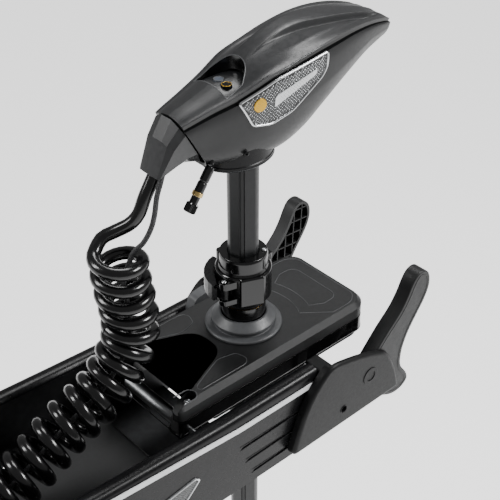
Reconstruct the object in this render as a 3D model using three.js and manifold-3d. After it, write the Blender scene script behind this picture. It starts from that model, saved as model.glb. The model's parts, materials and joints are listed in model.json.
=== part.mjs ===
// Bow-mount electric trolling motor: deck base, tilting steering housing, sliding shaft,
// control head and motor pod. Millimetres, +Z up, +X outboard over the bow, +Y to port.
// The origin is the middle of the face that lies on the deck.
import * as THREE from 'three';
import { mergeVertices } from 'three/addons/utils/BufferGeometryUtils.js';
import Module from 'manifold-3d';

const wasm = await Module();
wasm.setup();

// ---------------------------------------------------------------- driving dimensions
const GAP = 0.3; // clearance between touching pieces

const SHAFT_X = 200; // shaft axis, outboard of the origin
const SHAFT_Y = -7.5;
const SHAFT_R = 17;
const SHAFT_BORE_R = 12;
const SHAFT_LENGTH = 1143; // 45 in
const SHAFT_TOP = 376;
const SHAFT_BOTTOM = SHAFT_TOP - SHAFT_LENGTH;

const BASE_INBOARD = -230;
const BASE_FLOOR_END = 150; // the floor stops short of the shaft
const BASE_WALL_END = 227;
const FLOOR_T = 8;
const WALL_IN = 84; // |Y| of the channel walls
const WALL_OUT = 90;
const WALL_TOP = 104;
const PANEL_IN = 97; // |Y| of the side panels
const PANEL_OUT = 102.5;
const RAIL_CREST = 112;
const PLATE_IN = 110.3; // |Y| of the bow brackets' outer plates
const PLATE_OUT = 115.5;
const REST_IN = 92; // |Y| of the motor rests
const REST_OUT = 110;
const ACCESSORY_HOLE_X = 259; // through each bracket and rest
const ACCESSORY_HOLE_Z = 40;
const PAD_TOP = 48;
const PAD_END = 43;

const PIVOT_X = 67; // tilt axis, parallel to Y
const PIVOT_Z = 98;
const PIVOT_R = 5;
const PIVOT_SLEEVE_R = 8; // its thicker middle, between the housing's arms

const HOUSING_TOP = 138;
const HOUSING_SPLIT = 118; // joint between cover and body
const HOUSING_BOTTOM = 91;
const HOUSING_HALF = 66;
const POCKET_FLOOR = 101;

const SLEEVE_R = 24.7; // drive sleeve round the shaft
const SLEEVE_TOP = 172;
const WHEEL_R = 38;
const WORM_R = 10;
const WORM_Z = 114;

const COLLAR_BOTTOM = SLEEVE_TOP + GAP;
const COLLAR_TOP = 238;
const COLLAR_R = 31;

const HEAD_WALL = 3;

const POD_Z = -822; // motor pod axis, parallel to X
const POD_R = 46;
const POD_WALL = 4;
const POD_HALF = 75; // half length of the motor tube
const PROP_X = -168; // propeller centre, from the shaft axis
const PROP_R = 140;

const CORD_R = 7;
const COIL_R = 31; // outer radius of the coil cord's turns
const BRAID_R = 2.75;

// ---------------------------------------------------------------- materials
const finish = (color, roughness, metalness = 0) =>
  new THREE.MeshStandardMaterial({ color, roughness, metalness });
const SATIN_BLACK = finish(0x1b1c1e, 0.45);
const TEXTURED_BLACK = finish(0x242527, 0.75);
const GLOSS_BLACK = finish(0x0c0c0e, 0.15);
const CHARCOAL = finish(0x3a3c40, 0.4);
const DARK_GREY = finish(0x2c2d2f, 0.6);
const RING_GREY = finish(0x6b6e71, 0.5);
const LIGHT_STRIPE = finish(0xd8dadb, 0.35);
const COMPOSITE = finish(0x34363a, 0.4);
const ALLOY = finish(0x9a9da0, 0.4, 0.9);
const STEEL = finish(0xb4b7ba, 0.3, 1);
const CHROME = finish(0xd4d6d8, 0.12, 1);
const BRASS = finish(0xb08d4c, 0.35, 1);
const COPPER = finish(0x9c5a32, 0.4, 1);
const MAGNET = finish(0x3b3d42, 0.5, 0.4);
const BOARD_GREEN = finish(0x1d4a2c, 0.6);
const RUBBER = finish(0x111112, 0.5);
const POD_PAINT = finish(0x17181a, 0.35);
const PROP_BLACK = finish(0x141415, 0.3);

// ---------------------------------------------------------------- solids
function signedVolume(position, index) {
  let six = 0;
  const [a, b, c] = [new THREE.Vector3(), new THREE.Vector3(), new THREE.Vector3()];
  for (let i = 0; i < index.length; i += 3) {
    a.fromBufferAttribute(position, index[i]);
    b.fromBufferAttribute(position, index[i + 1]);
    c.fromBufferAttribute(position, index[i + 2]);
    six += a.dot(b.cross(c));
  }
  return six;
}

// a closed geometry, as a solid with its faces outward
function solid(geometry) {
  geometry.deleteAttribute('normal');
  geometry.deleteAttribute('uv');
  const merged = mergeVertices(geometry, 1e-3);
  const index = [];
  for (let i = 0; i < merged.index.count; i += 3) {
    const [a, b, c] = [0, 1, 2].map((k) => merged.index.getX(i + k));
    if (a !== b && b !== c && c !== a) index.push(a, b, c);
  }
  if (signedVolume(merged.attributes.position, index) < 0) index.reverse();
  return new wasm.Manifold(new wasm.Mesh({
    numProp: 3,
    vertProperties: new Float32Array(merged.attributes.position.array),
    triVerts: new Uint32Array(index),
  }));
}

function box(x0, x1, y0, y1, z0, z1) {
  const geometry = new THREE.BoxGeometry(x1 - x0, y1 - y0, z1 - z0);
  return solid(geometry.translate((x0 + x1) / 2, (y0 + y1) / 2, (z0 + z1) / 2));
}

// an outline whose corners are rounded by up to radius
function outline(points, radius = 0) {
  const shape = new THREE.Shape();
  const at = points.map(([x, y]) => new THREE.Vector2(x, y));
  at.forEach((corner, i) => {
    const before = at[(i + at.length - 1) % at.length];
    const after = at[(i + 1) % at.length];
    const reach = (other) => Math.min(radius, corner.distanceTo(other) * 0.49);
    const start = corner.clone().lerp(before, reach(before) / corner.distanceTo(before));
    const end = corner.clone().lerp(after, reach(after) / corner.distanceTo(after));
    if (i === 0) shape.moveTo(start.x, start.y);
    else shape.lineTo(start.x, start.y);
    if (radius > 0) shape.quadraticCurveTo(corner.x, corner.y, end.x, end.y);
  });
  shape.closePath();
  return shape;
}

const TO_Y = new THREE.Matrix4().set(1, 0, 0, 0, 0, 0, -1, 0, 0, 1, 0, 0, 0, 0, 0, 1);

function prism(shape, depth, curveSegments = 3) {
  return new THREE.ExtrudeGeometry(shape, { depth, curveSegments, bevelEnabled: false });
}
// an XY outline between two heights
const prismZ = (shape, z0, z1) => solid(prism(shape, z1 - z0).translate(0, 0, z0));
// an XZ outline between two values of Y
const prismY = (shape, y0, y1) =>
  solid(prism(shape, y1 - y0).applyMatrix4(TO_Y).translate(0, y1, 0));

// a profile of [radius, height] turned about Z
function turnedZ(profile, x = 0, y = 0, segments = 32) {
  const points = profile.map(([r, h]) => new THREE.Vector2(r, h));
  const geometry = new THREE.LatheGeometry(points, segments);
  return solid(geometry.rotateX(Math.PI / 2).translate(x, y, 0));
}
// a profile of [radius, distance along X] turned about an axis parallel to X
function turnedX(profile, y, z, segments = 32) {
  const points = profile.map(([r, h]) => new THREE.Vector2(r, h));
  const geometry = new THREE.LatheGeometry(points, segments);
  return solid(geometry.rotateZ(-Math.PI / 2).scale(1, -1, 1).translate(0, y, z));
}
const ring = (inner, outer, low, high) => [
  [inner, low], [outer, low], [outer, high], [inner, high], [inner, low],
];
const rod = (r, low, high) => [[0, low], [r, low], [r, high], [0, high]];

function barY(r, x, z, y0, y1, segments = 20) {
  const geometry = new THREE.CylinderGeometry(r, r, y1 - y0, segments);
  return solid(geometry.translate(x, (y0 + y1) / 2, z));
}

// a skin over rings of equally many points, closed with a flat cap at each end
function loft(rings) {
  const positions = rings.flat().flatMap((p) => [p.x, p.y, p.z]);
  const size = rings[0].length;
  const index = [];
  for (let r = 0; r + 1 < rings.length; r += 1) {
    for (let k = 0; k < size; k += 1) {
      const [a, b] = [r * size + k, r * size + ((k + 1) % size)];
      index.push(a, b, a + size, b, b + size, a + size);
    }
  }
  const first = rings[0];
  const across = first[0].clone().sub(first[Math.floor(size / 2)]).normalize();
  const normal = first.reduce((sum, p, k) => {
    const a = p.clone().sub(first[0]);
    return sum.add(a.cross(first[(k + 1) % size].clone().sub(first[0])));
  }, new THREE.Vector3()).normalize();
  const up = normal.clone().cross(across);
  const flat = first.map((p) => new THREE.Vector2(p.dot(across), p.dot(up)));
  const last = (rings.length - 1) * size;
  for (const [a, b, c] of THREE.ShapeUtils.triangulateShape(flat, [])) {
    index.push(a, c, b, last + a, last + b, last + c);
  }
  const geometry = new THREE.BufferGeometry();
  geometry.setAttribute('position', new THREE.Float32BufferAttribute(positions, 3));
  geometry.setIndex(index);
  return solid(geometry);
}

// a round tube along a smooth line through the points
function cordSolid(points, radius, sides, steps) {
  const path = new THREE.CatmullRomCurve3(points.map((p) => new THREE.Vector3(...p)));
  const section = new THREE.Shape();
  for (let k = 0; k < sides; k += 1) {
    const angle = (2 * Math.PI * k) / sides;
    section[k ? 'lineTo' : 'moveTo'](radius * Math.cos(angle), radius * Math.sin(angle));
  }
  section.closePath();
  return solid(new THREE.ExtrudeGeometry(section, { steps, extrudePath: path }));
}

const mirrored = (piece) => piece.mirror([0, 1, 0]);

// ---------------------------------------------------------------- the assembly
const trollingMotor = new THREE.Group();
trollingMotor.name = 'trolling_motor';

function place(name, piece, material) {
  const { vertProperties, triVerts, numProp } = piece.getMesh();
  const geometry = new THREE.BufferGeometry();
  const positions = [];
  for (let i = 0; i < vertProperties.length; i += numProp) {
    positions.push(vertProperties[i], vertProperties[i + 1], vertProperties[i + 2]);
  }
  geometry.setAttribute('position', new THREE.Float32BufferAttribute(positions, 3));
  geometry.setIndex(Array.from(triVerts));
  geometry.computeVertexNormals();
  const mesh = new THREE.Mesh(geometry, material);
  mesh.name = name;
  trollingMotor.add(mesh);
}

// a piece for each side of the base, made for port and mirrored for starboard
function placePair(name, piece, material) {
  place(`${name}_port`, piece, material);
  place(`${name}_starboard`, mirrored(piece), material);
}

// ---------------------------------------------------------------- base
// the rails rise a little towards the inboard end
const railLift = (x) => 14 * Math.max(0, (90 - x) / 300) ** 1.1;
const flankTop = (x) => 101 + 1.35 * railLift(x);

function baseChannel() {
  const floor = box(BASE_INBOARD, BASE_FLOOR_END, -WALL_OUT, WALL_OUT, 0, FLOOR_T);
  const crest = [BASE_WALL_END, 90, 10, -70, -150, BASE_INBOARD]
    .map((x) => [x, WALL_TOP + railLift(x)]);
  const side = outline([[BASE_INBOARD, 0], [BASE_WALL_END, 0], ...crest]);
  const wall = prismY(side, WALL_IN, WALL_OUT);
  const stiffener = box(BASE_INBOARD + 40, PAD_END - 6, -6, 6, FLOOR_T - 1, 30);
  const whole = floor.add(wall).add(mirrored(wall)).add(stiffener);
  const bore = barY(PIVOT_R + GAP, PIVOT_X, PIVOT_Z, -WALL_OUT - 1, WALL_OUT + 1);
  return whole.subtract(bore);
}

function sidePanel() {
  const section = (x) => {
    const lift = railLift(x);
    const upper = [
      [PANEL_OUT - 1, 106.5 + 0.1 * lift], [97.5, 110.5], [92.5, RAIL_CREST], [87, 110.5],
      [82, 105.2], [WALL_OUT + 3, 105.2], [PANEL_IN, 101],
    ].map(([y, z]) => [y, z + lift]);
    return [[PANEL_IN, 3], [PANEL_OUT, 3], [PANEL_OUT, flankTop(x)], ...upper].map(
      ([y, z]) => new THREE.Vector3(x, y, z),
    );
  };
  const stations = [BASE_INBOARD, -170, -110, -50, 10, 60, 110, 160, BASE_WALL_END - GAP];
  return loft(stations.map(section));
}

function stripe() {
  const low = (x) => 91 + 24 * Math.max(0, (110 - x) / 340);
  const across = (x) => [[PANEL_OUT + GAP, 0], [PANEL_OUT + 1.6, 0], [PANEL_OUT + 1.6, 6.5],
    [PANEL_OUT + GAP, 6.5]].map(([y, z]) => new THREE.Vector3(x, y, low(x) + z));
  const stations = [BASE_INBOARD + 4, -170, -110, -50, 10, 60, 110, 160, 219];
  return loft(stations.map(across));
}

function deckPad() {
  const side = outline([
    [BASE_INBOARD + 1, FLOOR_T + GAP], [BASE_INBOARD + 37, FLOOR_T + GAP],
    [BASE_INBOARD + 37, 32], [PAD_END - 4, 32], [PAD_END - 4, FLOOR_T + GAP],
    [PAD_END, FLOOR_T + GAP], [PAD_END, PAD_TOP - 4], [PAD_END - 4, PAD_TOP],
    [BASE_INBOARD + 1, PAD_TOP],
  ]);
  return prismY(side, -WALL_IN + GAP + 4, WALL_IN - GAP - 4);
}

const PLATE_OUTLINE = [
  [178, 15], [186, 42], [196, 68], [208, 89], [221, 104], [233, 114], [244, 116], [274, 109],
  [300, 101], [329, 88], [340, 70], [350, 46], [357, 18],
];

function bowBracket() {
  const plate = prismY(outline(PLATE_OUTLINE, 3), PLATE_IN, PLATE_OUT);
  const nearPanel = box(170, BASE_WALL_END + 20, PANEL_OUT + 2, PLATE_IN + 1, 0, 120);
  const flange = prismY(outline(PLATE_OUTLINE, 3), PANEL_OUT + 2, PLATE_IN + 0.5)
    .intersect(nearPanel);
  const web = box(BASE_WALL_END + GAP, BASE_WALL_END + 19, WALL_IN - 4, PLATE_IN + 0.5, 18, 110);
  const tongue = box(150, BASE_WALL_END + 2, WALL_OUT + GAP, PANEL_IN - GAP, 12, 84);
  const hole = barY(4.5, ACCESSORY_HOLE_X, ACCESSORY_HOLE_Z, PLATE_IN - 10, PLATE_OUT + 1);
  return plate.add(flange).add(web).add(tongue).subtract(hole);
}

const REST_OUTLINE = [
  [247, 14], [247, 62], [292, 64], [320, 96], [336, 113], [353, 128], [365, 146], [371, 160],
  [378, 170], [388, 173], [398, 168], [403, 157], [403, 143], [396, 127], [384, 110], [371, 90],
  [363, 69], [362, 44], [377, 24], [380, 12], [367, 3], [350, 3], [330, 14],
];

function motorRest() {
  const body = prismY(outline(REST_OUTLINE, 6), REST_IN, REST_OUT);
  // the inner face is hollowed inside its rim
  const hollow = outline([
    [300, 66], [324, 92], [341, 109], [357, 124], [369, 142], [376, 160], [386, 168],
    [397, 160], [397, 144], [390, 129], [379, 114], [365, 92], [357, 70], [350, 58],
  ], 4);
  const pocket = prismY(hollow, REST_IN - 1, REST_IN + 12);
  const hole = barY(4.5, ACCESSORY_HOLE_X, ACCESSORY_HOLE_Z, REST_IN - 1, REST_OUT + 1);
  return body.subtract(pocket).subtract(hole);
}

place('base_channel', baseChannel(), ALLOY);
placePair('side_panel', sidePanel(), SATIN_BLACK);
placePair('stripe', stripe(), LIGHT_STRIPE);
place('deck_pad', deckPad(), TEXTURED_BLACK);
placePair('bow_bracket', bowBracket(), DARK_GREY);
placePair('motor_rest', motorRest(), TEXTURED_BLACK);
const pivotRod = barY(PIVOT_R, PIVOT_X, PIVOT_Z, -WALL_OUT + 0.5, WALL_OUT - 0.5)
  .add(barY(PIVOT_SLEEVE_R, PIVOT_X, PIVOT_Z, SHAFT_Y - 43, SHAFT_Y + 43));
place('pivot_rod', pivotRod, STEEL);

const GLAND_Z = 76;
const GLAND_R = 9.5; // where it passes through the end cap
const endCap = box(BASE_INBOARD - 8, BASE_INBOARD - GAP, -PANEL_OUT, PANEL_OUT, 3, 112)
  .subtract(turnedX(
    rod(GLAND_R + GAP, BASE_INBOARD - 20, BASE_INBOARD + 20), SHAFT_Y, GLAND_Z, 20,
  ));
place('inboard_end_cap', endCap, SATIN_BLACK);
const gland = turnedX([
  [CORD_R + GAP, BASE_INBOARD + 14], [CORD_R + 2, BASE_INBOARD + 14], [12.5, BASE_INBOARD + 6],
  [12.5, BASE_INBOARD], [GLAND_R, BASE_INBOARD], [GLAND_R, BASE_INBOARD - 12],
  [CORD_R + GAP, BASE_INBOARD - 12],
  [CORD_R + GAP, BASE_INBOARD + 14],
], SHAFT_Y, GLAND_Z, 20);
place('cord_gland', gland, RUBBER);

// release pedal, on its pin inside the port wall
const PEDAL_X = 202;
const PEDAL_PIN_Z = 84;
const pedalSide = outline([
  [PEDAL_X - 19, 112], [PEDAL_X - 12, 132], [PEDAL_X + 12, 136], [PEDAL_X + 20, 124],
  [PEDAL_X + 18, 112], [PEDAL_X + 8, 102], [PEDAL_X + 8, 76], [PEDAL_X - 8, 76],
  [PEDAL_X - 8, 102],
], 6);
const pedalBore = barY(3 + GAP, PEDAL_X, PEDAL_PIN_Z, 60, 90, 16);
place('release_pedal', prismY(pedalSide, 66, 79.5).subtract(pedalBore), RING_GREY);
place('pedal_pin', barY(3, PEDAL_X, PEDAL_PIN_Z, 66, WALL_IN - GAP, 16), STEEL);

// ---------------------------------------------------------------- steering housing
// outline of the housing in plan, its outer sides drawn in by inset: two arms reach inboard
// to the pivot, one each side of a notch
const NOTCH = [[-124, 45], [-100, 35], [-66, 21], [-58, 12]];
function housingPlan(inset) {
  const half = HOUSING_HALF - inset;
  const tip = -148 + inset;
  const port = [[tip, 50], [tip, half], [126, half], [140 - inset, 52]];
  return aboutShaft([
    ...port, ...port.map(([x, y]) => [x, -y]).reverse(),
    ...NOTCH.map(([x, y]) => [x, -y]), ...[...NOTCH].reverse(),
  ]);
}

const aboutShaft = (points) => points.map(([x, y]) => [SHAFT_X + x, SHAFT_Y + y]);
const housingRoom = (low, high) => prismZ(outline(aboutShaft(
  [[-52, 62], [124, 62], [134, 50], [134, -50], [124, -62], [-52, -62]],
), 4), low, high);

function housingCover() {
  const edge = 4; // the chamfer round the top
  const low = prismZ(outline(housingPlan(0), 6), HOUSING_SPLIT, HOUSING_TOP - edge);
  const top = prismZ(outline(housingPlan(edge), 5), HOUSING_TOP - edge - 0.5, HOUSING_TOP);
  const bore = turnedZ(rod(SLEEVE_R + GAP, HOUSING_SPLIT - 5, HOUSING_TOP + 5), SHAFT_X, SHAFT_Y);
  return low.add(top).subtract(housingRoom(HOUSING_SPLIT - 1, HOUSING_TOP - edge - 1))
    .subtract(bore);
}

function housingBody() {
  const half = HOUSING_HALF;
  const whole = prismZ(outline(aboutShaft([
    [-148, half], [126, half], [140, 52], [140, -52], [126, -half], [-148, -half],
  ]), 6), HOUSING_BOTTOM + 8, HOUSING_SPLIT - GAP);
  const foot = prismZ(outline(aboutShaft([
    [-100, 62], [122, 62], [136, 50], [136, -50], [122, -62], [-100, -62],
  ]), 6), HOUSING_BOTTOM, HOUSING_BOTTOM + 8.5);
  const boss = prismZ(outline(aboutShaft([[-45, 44], [62, 44], [62, -44], [-45, -44]]), 8),
    56, HOUSING_BOTTOM + 0.5);
  const pocket = prismZ(outline(aboutShaft([
    [-160, 50], [-148, 50], ...NOTCH, ...NOTCH.map(([x, y]) => [x, -y]).reverse(),
    [-148, -50], [-160, -50],
  ]), 3), POCKET_FLOOR, HOUSING_SPLIT + 5);
  const between = box(SHAFT_X - 160, SHAFT_X - 108, SHAFT_Y - 45, SHAFT_Y + 45, 40, 130);
  const lug = barY(14, PIVOT_X, PIVOT_Z, SHAFT_Y - half, SHAFT_Y + half);
  const room = housingRoom(HOUSING_BOTTOM + 4.5, HOUSING_SPLIT + 5);
  const well = box(SHAFT_X - 38, SHAFT_X + 55, SHAFT_Y - 37, SHAFT_Y + 37, 61, HOUSING_BOTTOM + 5);
  const bore = turnedZ(rod(SLEEVE_R + 3.3, 40, 130), SHAFT_X, SHAFT_Y);
  const leg = box(SHAFT_X + 112, SHAFT_X + 130, SHAFT_Y - 40, SHAFT_Y - 22, 70, HOUSING_BOTTOM + 1);
  const legs = leg.add(leg.translate([0, 62, 0]));
  const pivotBore = barY(PIVOT_R + GAP, PIVOT_X, PIVOT_Z, -95, 95);
  const sleeveRoom = barY(PIVOT_SLEEVE_R + 1, PIVOT_X, PIVOT_Z, SHAFT_Y - 44, SHAFT_Y + 44);
  return whole.add(foot).add(boss).add(lug).add(legs)
    .subtract(pocket).subtract(between).subtract(room).subtract(well).subtract(bore)
    .subtract(pivotBore).subtract(sleeveRoom);
}

place('housing_cover', housingCover(), TEXTURED_BLACK);
place('housing_body', housingBody(), SATIN_BLACK);
place('shaft_ring', turnedZ([
  [SLEEVE_R + GAP, HOUSING_TOP + GAP], [44, HOUSING_TOP + GAP], [44, HOUSING_TOP + 4],
  [40, HOUSING_TOP + 6.5], [37, HOUSING_TOP + 6.5], [37, HOUSING_TOP + 17],
  [35, HOUSING_TOP + 20], [27, HOUSING_TOP + 20], [SLEEVE_R + GAP, HOUSING_TOP + 17],
  [SLEEVE_R + GAP, HOUSING_TOP + GAP],
], SHAFT_X, SHAFT_Y), RING_GREY);
place('lower_bush', turnedZ(
  ring(SLEEVE_R + GAP, SLEEVE_R + 3, 56, 72), SHAFT_X, SHAFT_Y,
), BRASS);
const WORM_Y = SHAFT_Y + WHEEL_R + WORM_R + GAP;
place('steering_motor', turnedX([
  [0, SHAFT_X + 26], [7, SHAFT_X + 26], [7, SHAFT_X + 30], [13, SHAFT_X + 30],
  [13, SHAFT_X + 92], [0, SHAFT_X + 92],
], WORM_Y, WORM_Z, 20), STEEL);

// ---------------------------------------------------------------- drive sleeve and worm
const WHEEL_TEETH = 24;
const toothed = [];
for (let k = 0; k < WHEEL_TEETH * 4; k += 1) {
  const angle = (2 * Math.PI * k) / (WHEEL_TEETH * 4);
  const r = k % 4 < 2 ? WHEEL_R : WHEEL_R - 2.4;
  toothed.push([SHAFT_X + r * Math.cos(angle), SHAFT_Y + r * Math.sin(angle)]);
}
const sleeve = turnedZ(rod(SLEEVE_R, 57, SLEEVE_TOP), SHAFT_X, SHAFT_Y)
  .add(prismZ(outline(toothed), WORM_Z - 6, WORM_Z + 6))
  .subtract(turnedZ(rod(SHAFT_R + GAP, 40, 200), SHAFT_X, SHAFT_Y));
const key = box(
  SHAFT_X - SHAFT_R - 1, SHAFT_X - SHAFT_R + 1.6, SHAFT_Y - 2.6, SHAFT_Y + 2.6, 57, SLEEVE_TOP,
);
place('steering_gear', sleeve.add(key), BRASS);
const wormProfile = [[0, SHAFT_X - 22], [4, SHAFT_X - 22]];
for (let k = 0; k < 4; k += 1) {
  const x = SHAFT_X - 17 + 9 * k;
  wormProfile.push([7.5, x], [WORM_R, x + 2], [WORM_R, x + 4], [7.5, x + 6]);
}
wormProfile.push([4, SHAFT_X + 19], [4, SHAFT_X + 25.5], [0, SHAFT_X + 25.5]);
place('steering_worm', turnedX(wormProfile, WORM_Y, WORM_Z, 16), STEEL);

// ---------------------------------------------------------------- shaft
const groove = (side) => box(
  SHAFT_X + side * (SHAFT_R - 0.2) - 1.9, SHAFT_X + side * (SHAFT_R - 0.2) + 1.9,
  SHAFT_Y - 3, SHAFT_Y + 3, SHAFT_BOTTOM - 1, SHAFT_TOP + 1,
);
const faceGroove = box(
  SHAFT_X - 3, SHAFT_X + 3, SHAFT_Y - SHAFT_R - 1, SHAFT_Y - SHAFT_R + 1,
  SHAFT_BOTTOM - 1, SHAFT_TOP + 1,
);
const shaft = turnedZ(rod(SHAFT_R, SHAFT_BOTTOM, SHAFT_TOP), SHAFT_X, SHAFT_Y)
  .subtract(turnedZ(rod(SHAFT_BORE_R, SHAFT_BOTTOM - 5, SHAFT_TOP + 5), SHAFT_X, SHAFT_Y, 24))
  .subtract(groove(-1)).subtract(groove(1)).subtract(faceGroove);
place('shaft_tube', shaft, COMPOSITE);
place('shaft_wiring', turnedZ(
  rod(5, SHAFT_BOTTOM + 2, SHAFT_TOP + 8), SHAFT_X, SHAFT_Y, 12,
), RUBBER);

// ---------------------------------------------------------------- depth collar
function depthCollar() {
  const bore = SHAFT_R + GAP;
  const body = turnedZ([
    [bore, COLLAR_BOTTOM], [24, COLLAR_BOTTOM], [27, COLLAR_BOTTOM + 3],
    [COLLAR_R, COLLAR_BOTTOM + 6],
    [COLLAR_R, COLLAR_BOTTOM + 44], [28, COLLAR_BOTTOM + 48], [27.5, COLLAR_BOTTOM + 58],
    [25, COLLAR_TOP], [bore, COLLAR_TOP], [bore, COLLAR_BOTTOM],
  ], SHAFT_X, SHAFT_Y);
  const lug = box(SHAFT_X - 40, SHAFT_X - 22, SHAFT_Y - 16, SHAFT_Y - 2, 186, 214);
  const clamp = box(SHAFT_X + 20, SHAFT_X + 36, SHAFT_Y - 9, SHAFT_Y + 9, 188, 222);
  const split = box(SHAFT_X + 14, SHAFT_X + 45, SHAFT_Y - 0.8, SHAFT_Y + 0.8, 160, 250);
  const cleared = turnedZ(rod(bore, 150, 250), SHAFT_X, SHAFT_Y);
  // the lug is a fork round the lever's eye
  const leverRoom = box(SHAFT_X - 42, SHAFT_X - 24, SHAFT_Y - 17, SHAFT_Y - 1, 193, 207);
  const pin = turnedZ(rod(3.3, 180, 220), SHAFT_X - 35, SHAFT_Y - 9, 16);
  return body.add(lug).add(clamp).subtract(split).subtract(cleared).subtract(leverRoom)
    .subtract(pin);
}
place('depth_collar', depthCollar(), GLOSS_BLACK);

// clamp lever: an eye on the lug's pin and a curved handle behind the collar
function collarLever() {
  const [px, py] = [SHAFT_X - 35, SHAFT_Y - 9];
  const handle = [];
  const arc = (radius, from, to, steps) => {
    for (let k = 0; k <= steps; k += 1) {
      const angle = THREE.MathUtils.degToRad(from + ((to - from) * k) / steps);
      handle.push([SHAFT_X + radius * Math.cos(angle), SHAFT_Y + radius * Math.sin(angle)]);
    }
  };
  arc(44, 188, 100, 8);
  arc(34, 100, 165, 6);
  const eye = turnedZ(rod(4.3, 193.3, 206.7), px, py, 20);
  const neck = box(px - 4.3, px + 1, py, py + 10, 193.3, 206.7);
  const bar = prismZ(outline(handle, 1), 190, 210).subtract(
    box(px - 12, px + 16, py - 12, py + 8.5, 180, 193.3),
  ).subtract(box(px - 12, px + 16, py - 12, py + 8.5, 206.7, 220));
  return eye.add(neck).add(bar).add(turnedZ(rod(3, 186, 214), px, py, 16));
}
place('collar_lever', collarLever(), SATIN_BLACK);

// ---------------------------------------------------------------- control head
// stations along the head, from the shaft axis and the housing's top:
// x, top, belt height, belt half width, crease height, bottom, bottom half width
const HEAD_STATIONS = [
  [-106, 293, 288, 17, 268, 248, 9],
  [-92, 299, 292, 21, 266, 242, 12],
  [-60, 308, 300, 26, 262, 236, 17],
  [-30, 318, 307, 32, 262, 231, 21],
  [0, 333, 317, 37, 266, 228, 24],
  [30, 345, 323, 39, 272, 228, 24],
  [60, 351, 329, 40, 282, 236, 22],
  [90, 350, 333, 40, 293, 252, 19],
  [120, 346, 335, 38, 304, 270, 16],
  [150, 339, 333, 34, 313, 288, 13],
  [176, 328, 326, 27, 314, 298, 10],
  [190, 316, 315, 18, 310, 303, 7],
];

function headRing([x, top, belt, wide, crease, bottom, low], inset) {
  const half = [
    [0, top], [0.3 * wide, top - 1], [0.6 * wide, 0.62 * top + 0.38 * belt],
    [0.85 * wide, 0.25 * top + 0.75 * belt], [wide, belt],
    [wide + 1.5, 0.6 * belt + 0.4 * crease], [wide, crease],
    [0.5 * (wide + low) + 3, 0.42 * crease + 0.58 * bottom], [low, bottom + 1], [0, bottom],
  ];
  const middle = (top + bottom) / 2;
  const tall = (top - bottom) / 2;
  const squeeze = ([y, z]) => [
    y * (1 - inset / wide), middle + (z - middle) * (1 - inset / tall),
  ];
  const port = half.map(squeeze);
  const starboard = port.slice(1, -1).reverse().map(([y, z]) => [-y, z]);
  return [...port, ...starboard].map(
    ([y, z]) => new THREE.Vector3(SHAFT_X + x, SHAFT_Y + y, HOUSING_TOP + z),
  );
}
const headSolid = (inset) => loft(HEAD_STATIONS.map(([x, ...rest], i) => {
  const last = i === HEAD_STATIONS.length - 1;
  return headRing([last ? x - inset : x, ...rest], inset);
}));

// the space over the belt line, raised by lift
function overBelt(lift, height) {
  const low = HEAD_STATIONS.map(([x, , belt]) => [SHAFT_X + x, HOUSING_TOP + belt + lift]);
  low[0] = [low[0][0] - 20, low[0][1] - 4];
  low[low.length - 1][0] += 20;
  const high = low.map(([x, z]) => [x, z + height]).reverse();
  return prismY(outline([...low, ...high]), -100, 100);
}
const BELT = 3.2; // half height of the trim band
const NOSE_CUT = [[-97, 320], [-93, 289], [-66, 242], [-60, 220]];
const noseSide = (shift) => prismY(outline([
  ...NOSE_CUT.map(([x, z]) => [SHAFT_X + x + shift, HOUSING_TOP + z]),
  [SHAFT_X - 200, HOUSING_TOP + 220], [SHAFT_X - 200, HOUSING_TOP + 320],
]), -100, 100);
const headOuter = headSolid(0);
const headInner = headSolid(HEAD_WALL);
const headShell = headOuter.subtract(headInner).subtract(noseSide(GAP));

const SHAFT_HOLE = turnedZ(rod(SHAFT_R + GAP, 300, 400), SHAFT_X, SHAFT_Y);
const windowOutline = (grow) => outline(aboutShaft([
  [-42 - grow, -24 - grow], [-22, -24 - grow], [-8 + grow, -15 - grow], [-4 + grow, 0],
  [-8 + grow, 15 + grow], [-22, 24 + grow], [-42 - grow, 24 + grow],
]), 7);
const topCut = prismZ(windowOutline(0), 400, 520);

const lowerShell = headShell.subtract(overBelt(-BELT, 100)).subtract(SHAFT_HOLE)
  .subtract(box(SHAFT_X - 15, SHAFT_X + 15, SHAFT_Y - 15, SHAFT_Y + 15, 350, 380));
const topCover = headShell.intersect(overBelt(BELT, 100)).subtract(topCut);
const band = headSolid(1).subtract(headSolid(4)).subtract(noseSide(GAP))
  .intersect(overBelt(-BELT + GAP, 2 * (BELT - GAP)));

// a badge lies on each flank: a rim round a plate, both following the shell
const badgeOutline = (inset) => outline([
  [-35 + inset, 303], [-19 + inset, 273 + inset], [4, 269 + inset], [31, 275 + inset],
  [70 - inset, 301 + inset], [76 - inset, 310], [78 - inset, 328 - inset], [7, 317 - inset],
].map(([x, z]) => [SHAFT_X + x, HOUSING_TOP + z]), 5);
const RIM = 3; // width of the badge's rim
const rimSkin = headSolid(-2.4).subtract(headSolid(-GAP));
const plateSkin = headSolid(-1.4).subtract(headSolid(-GAP));
const portOnly = (piece) => piece.intersect(box(0, 400, SHAFT_Y + 5, 200, 300, 520));
const badgeRim = portOnly(rimSkin.intersect(prismY(badgeOutline(0), 0, 100))
  .subtract(prismY(badgeOutline(RIM), -10, 110)));
const badgePlate = portOnly(plateSkin.intersect(prismY(badgeOutline(RIM + GAP), 0, 100)));
const acrossShaft = (piece) => piece.translate([0, -SHAFT_Y, 0]).mirror([0, 1, 0])
  .translate([0, SHAFT_Y, 0]);

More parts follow.
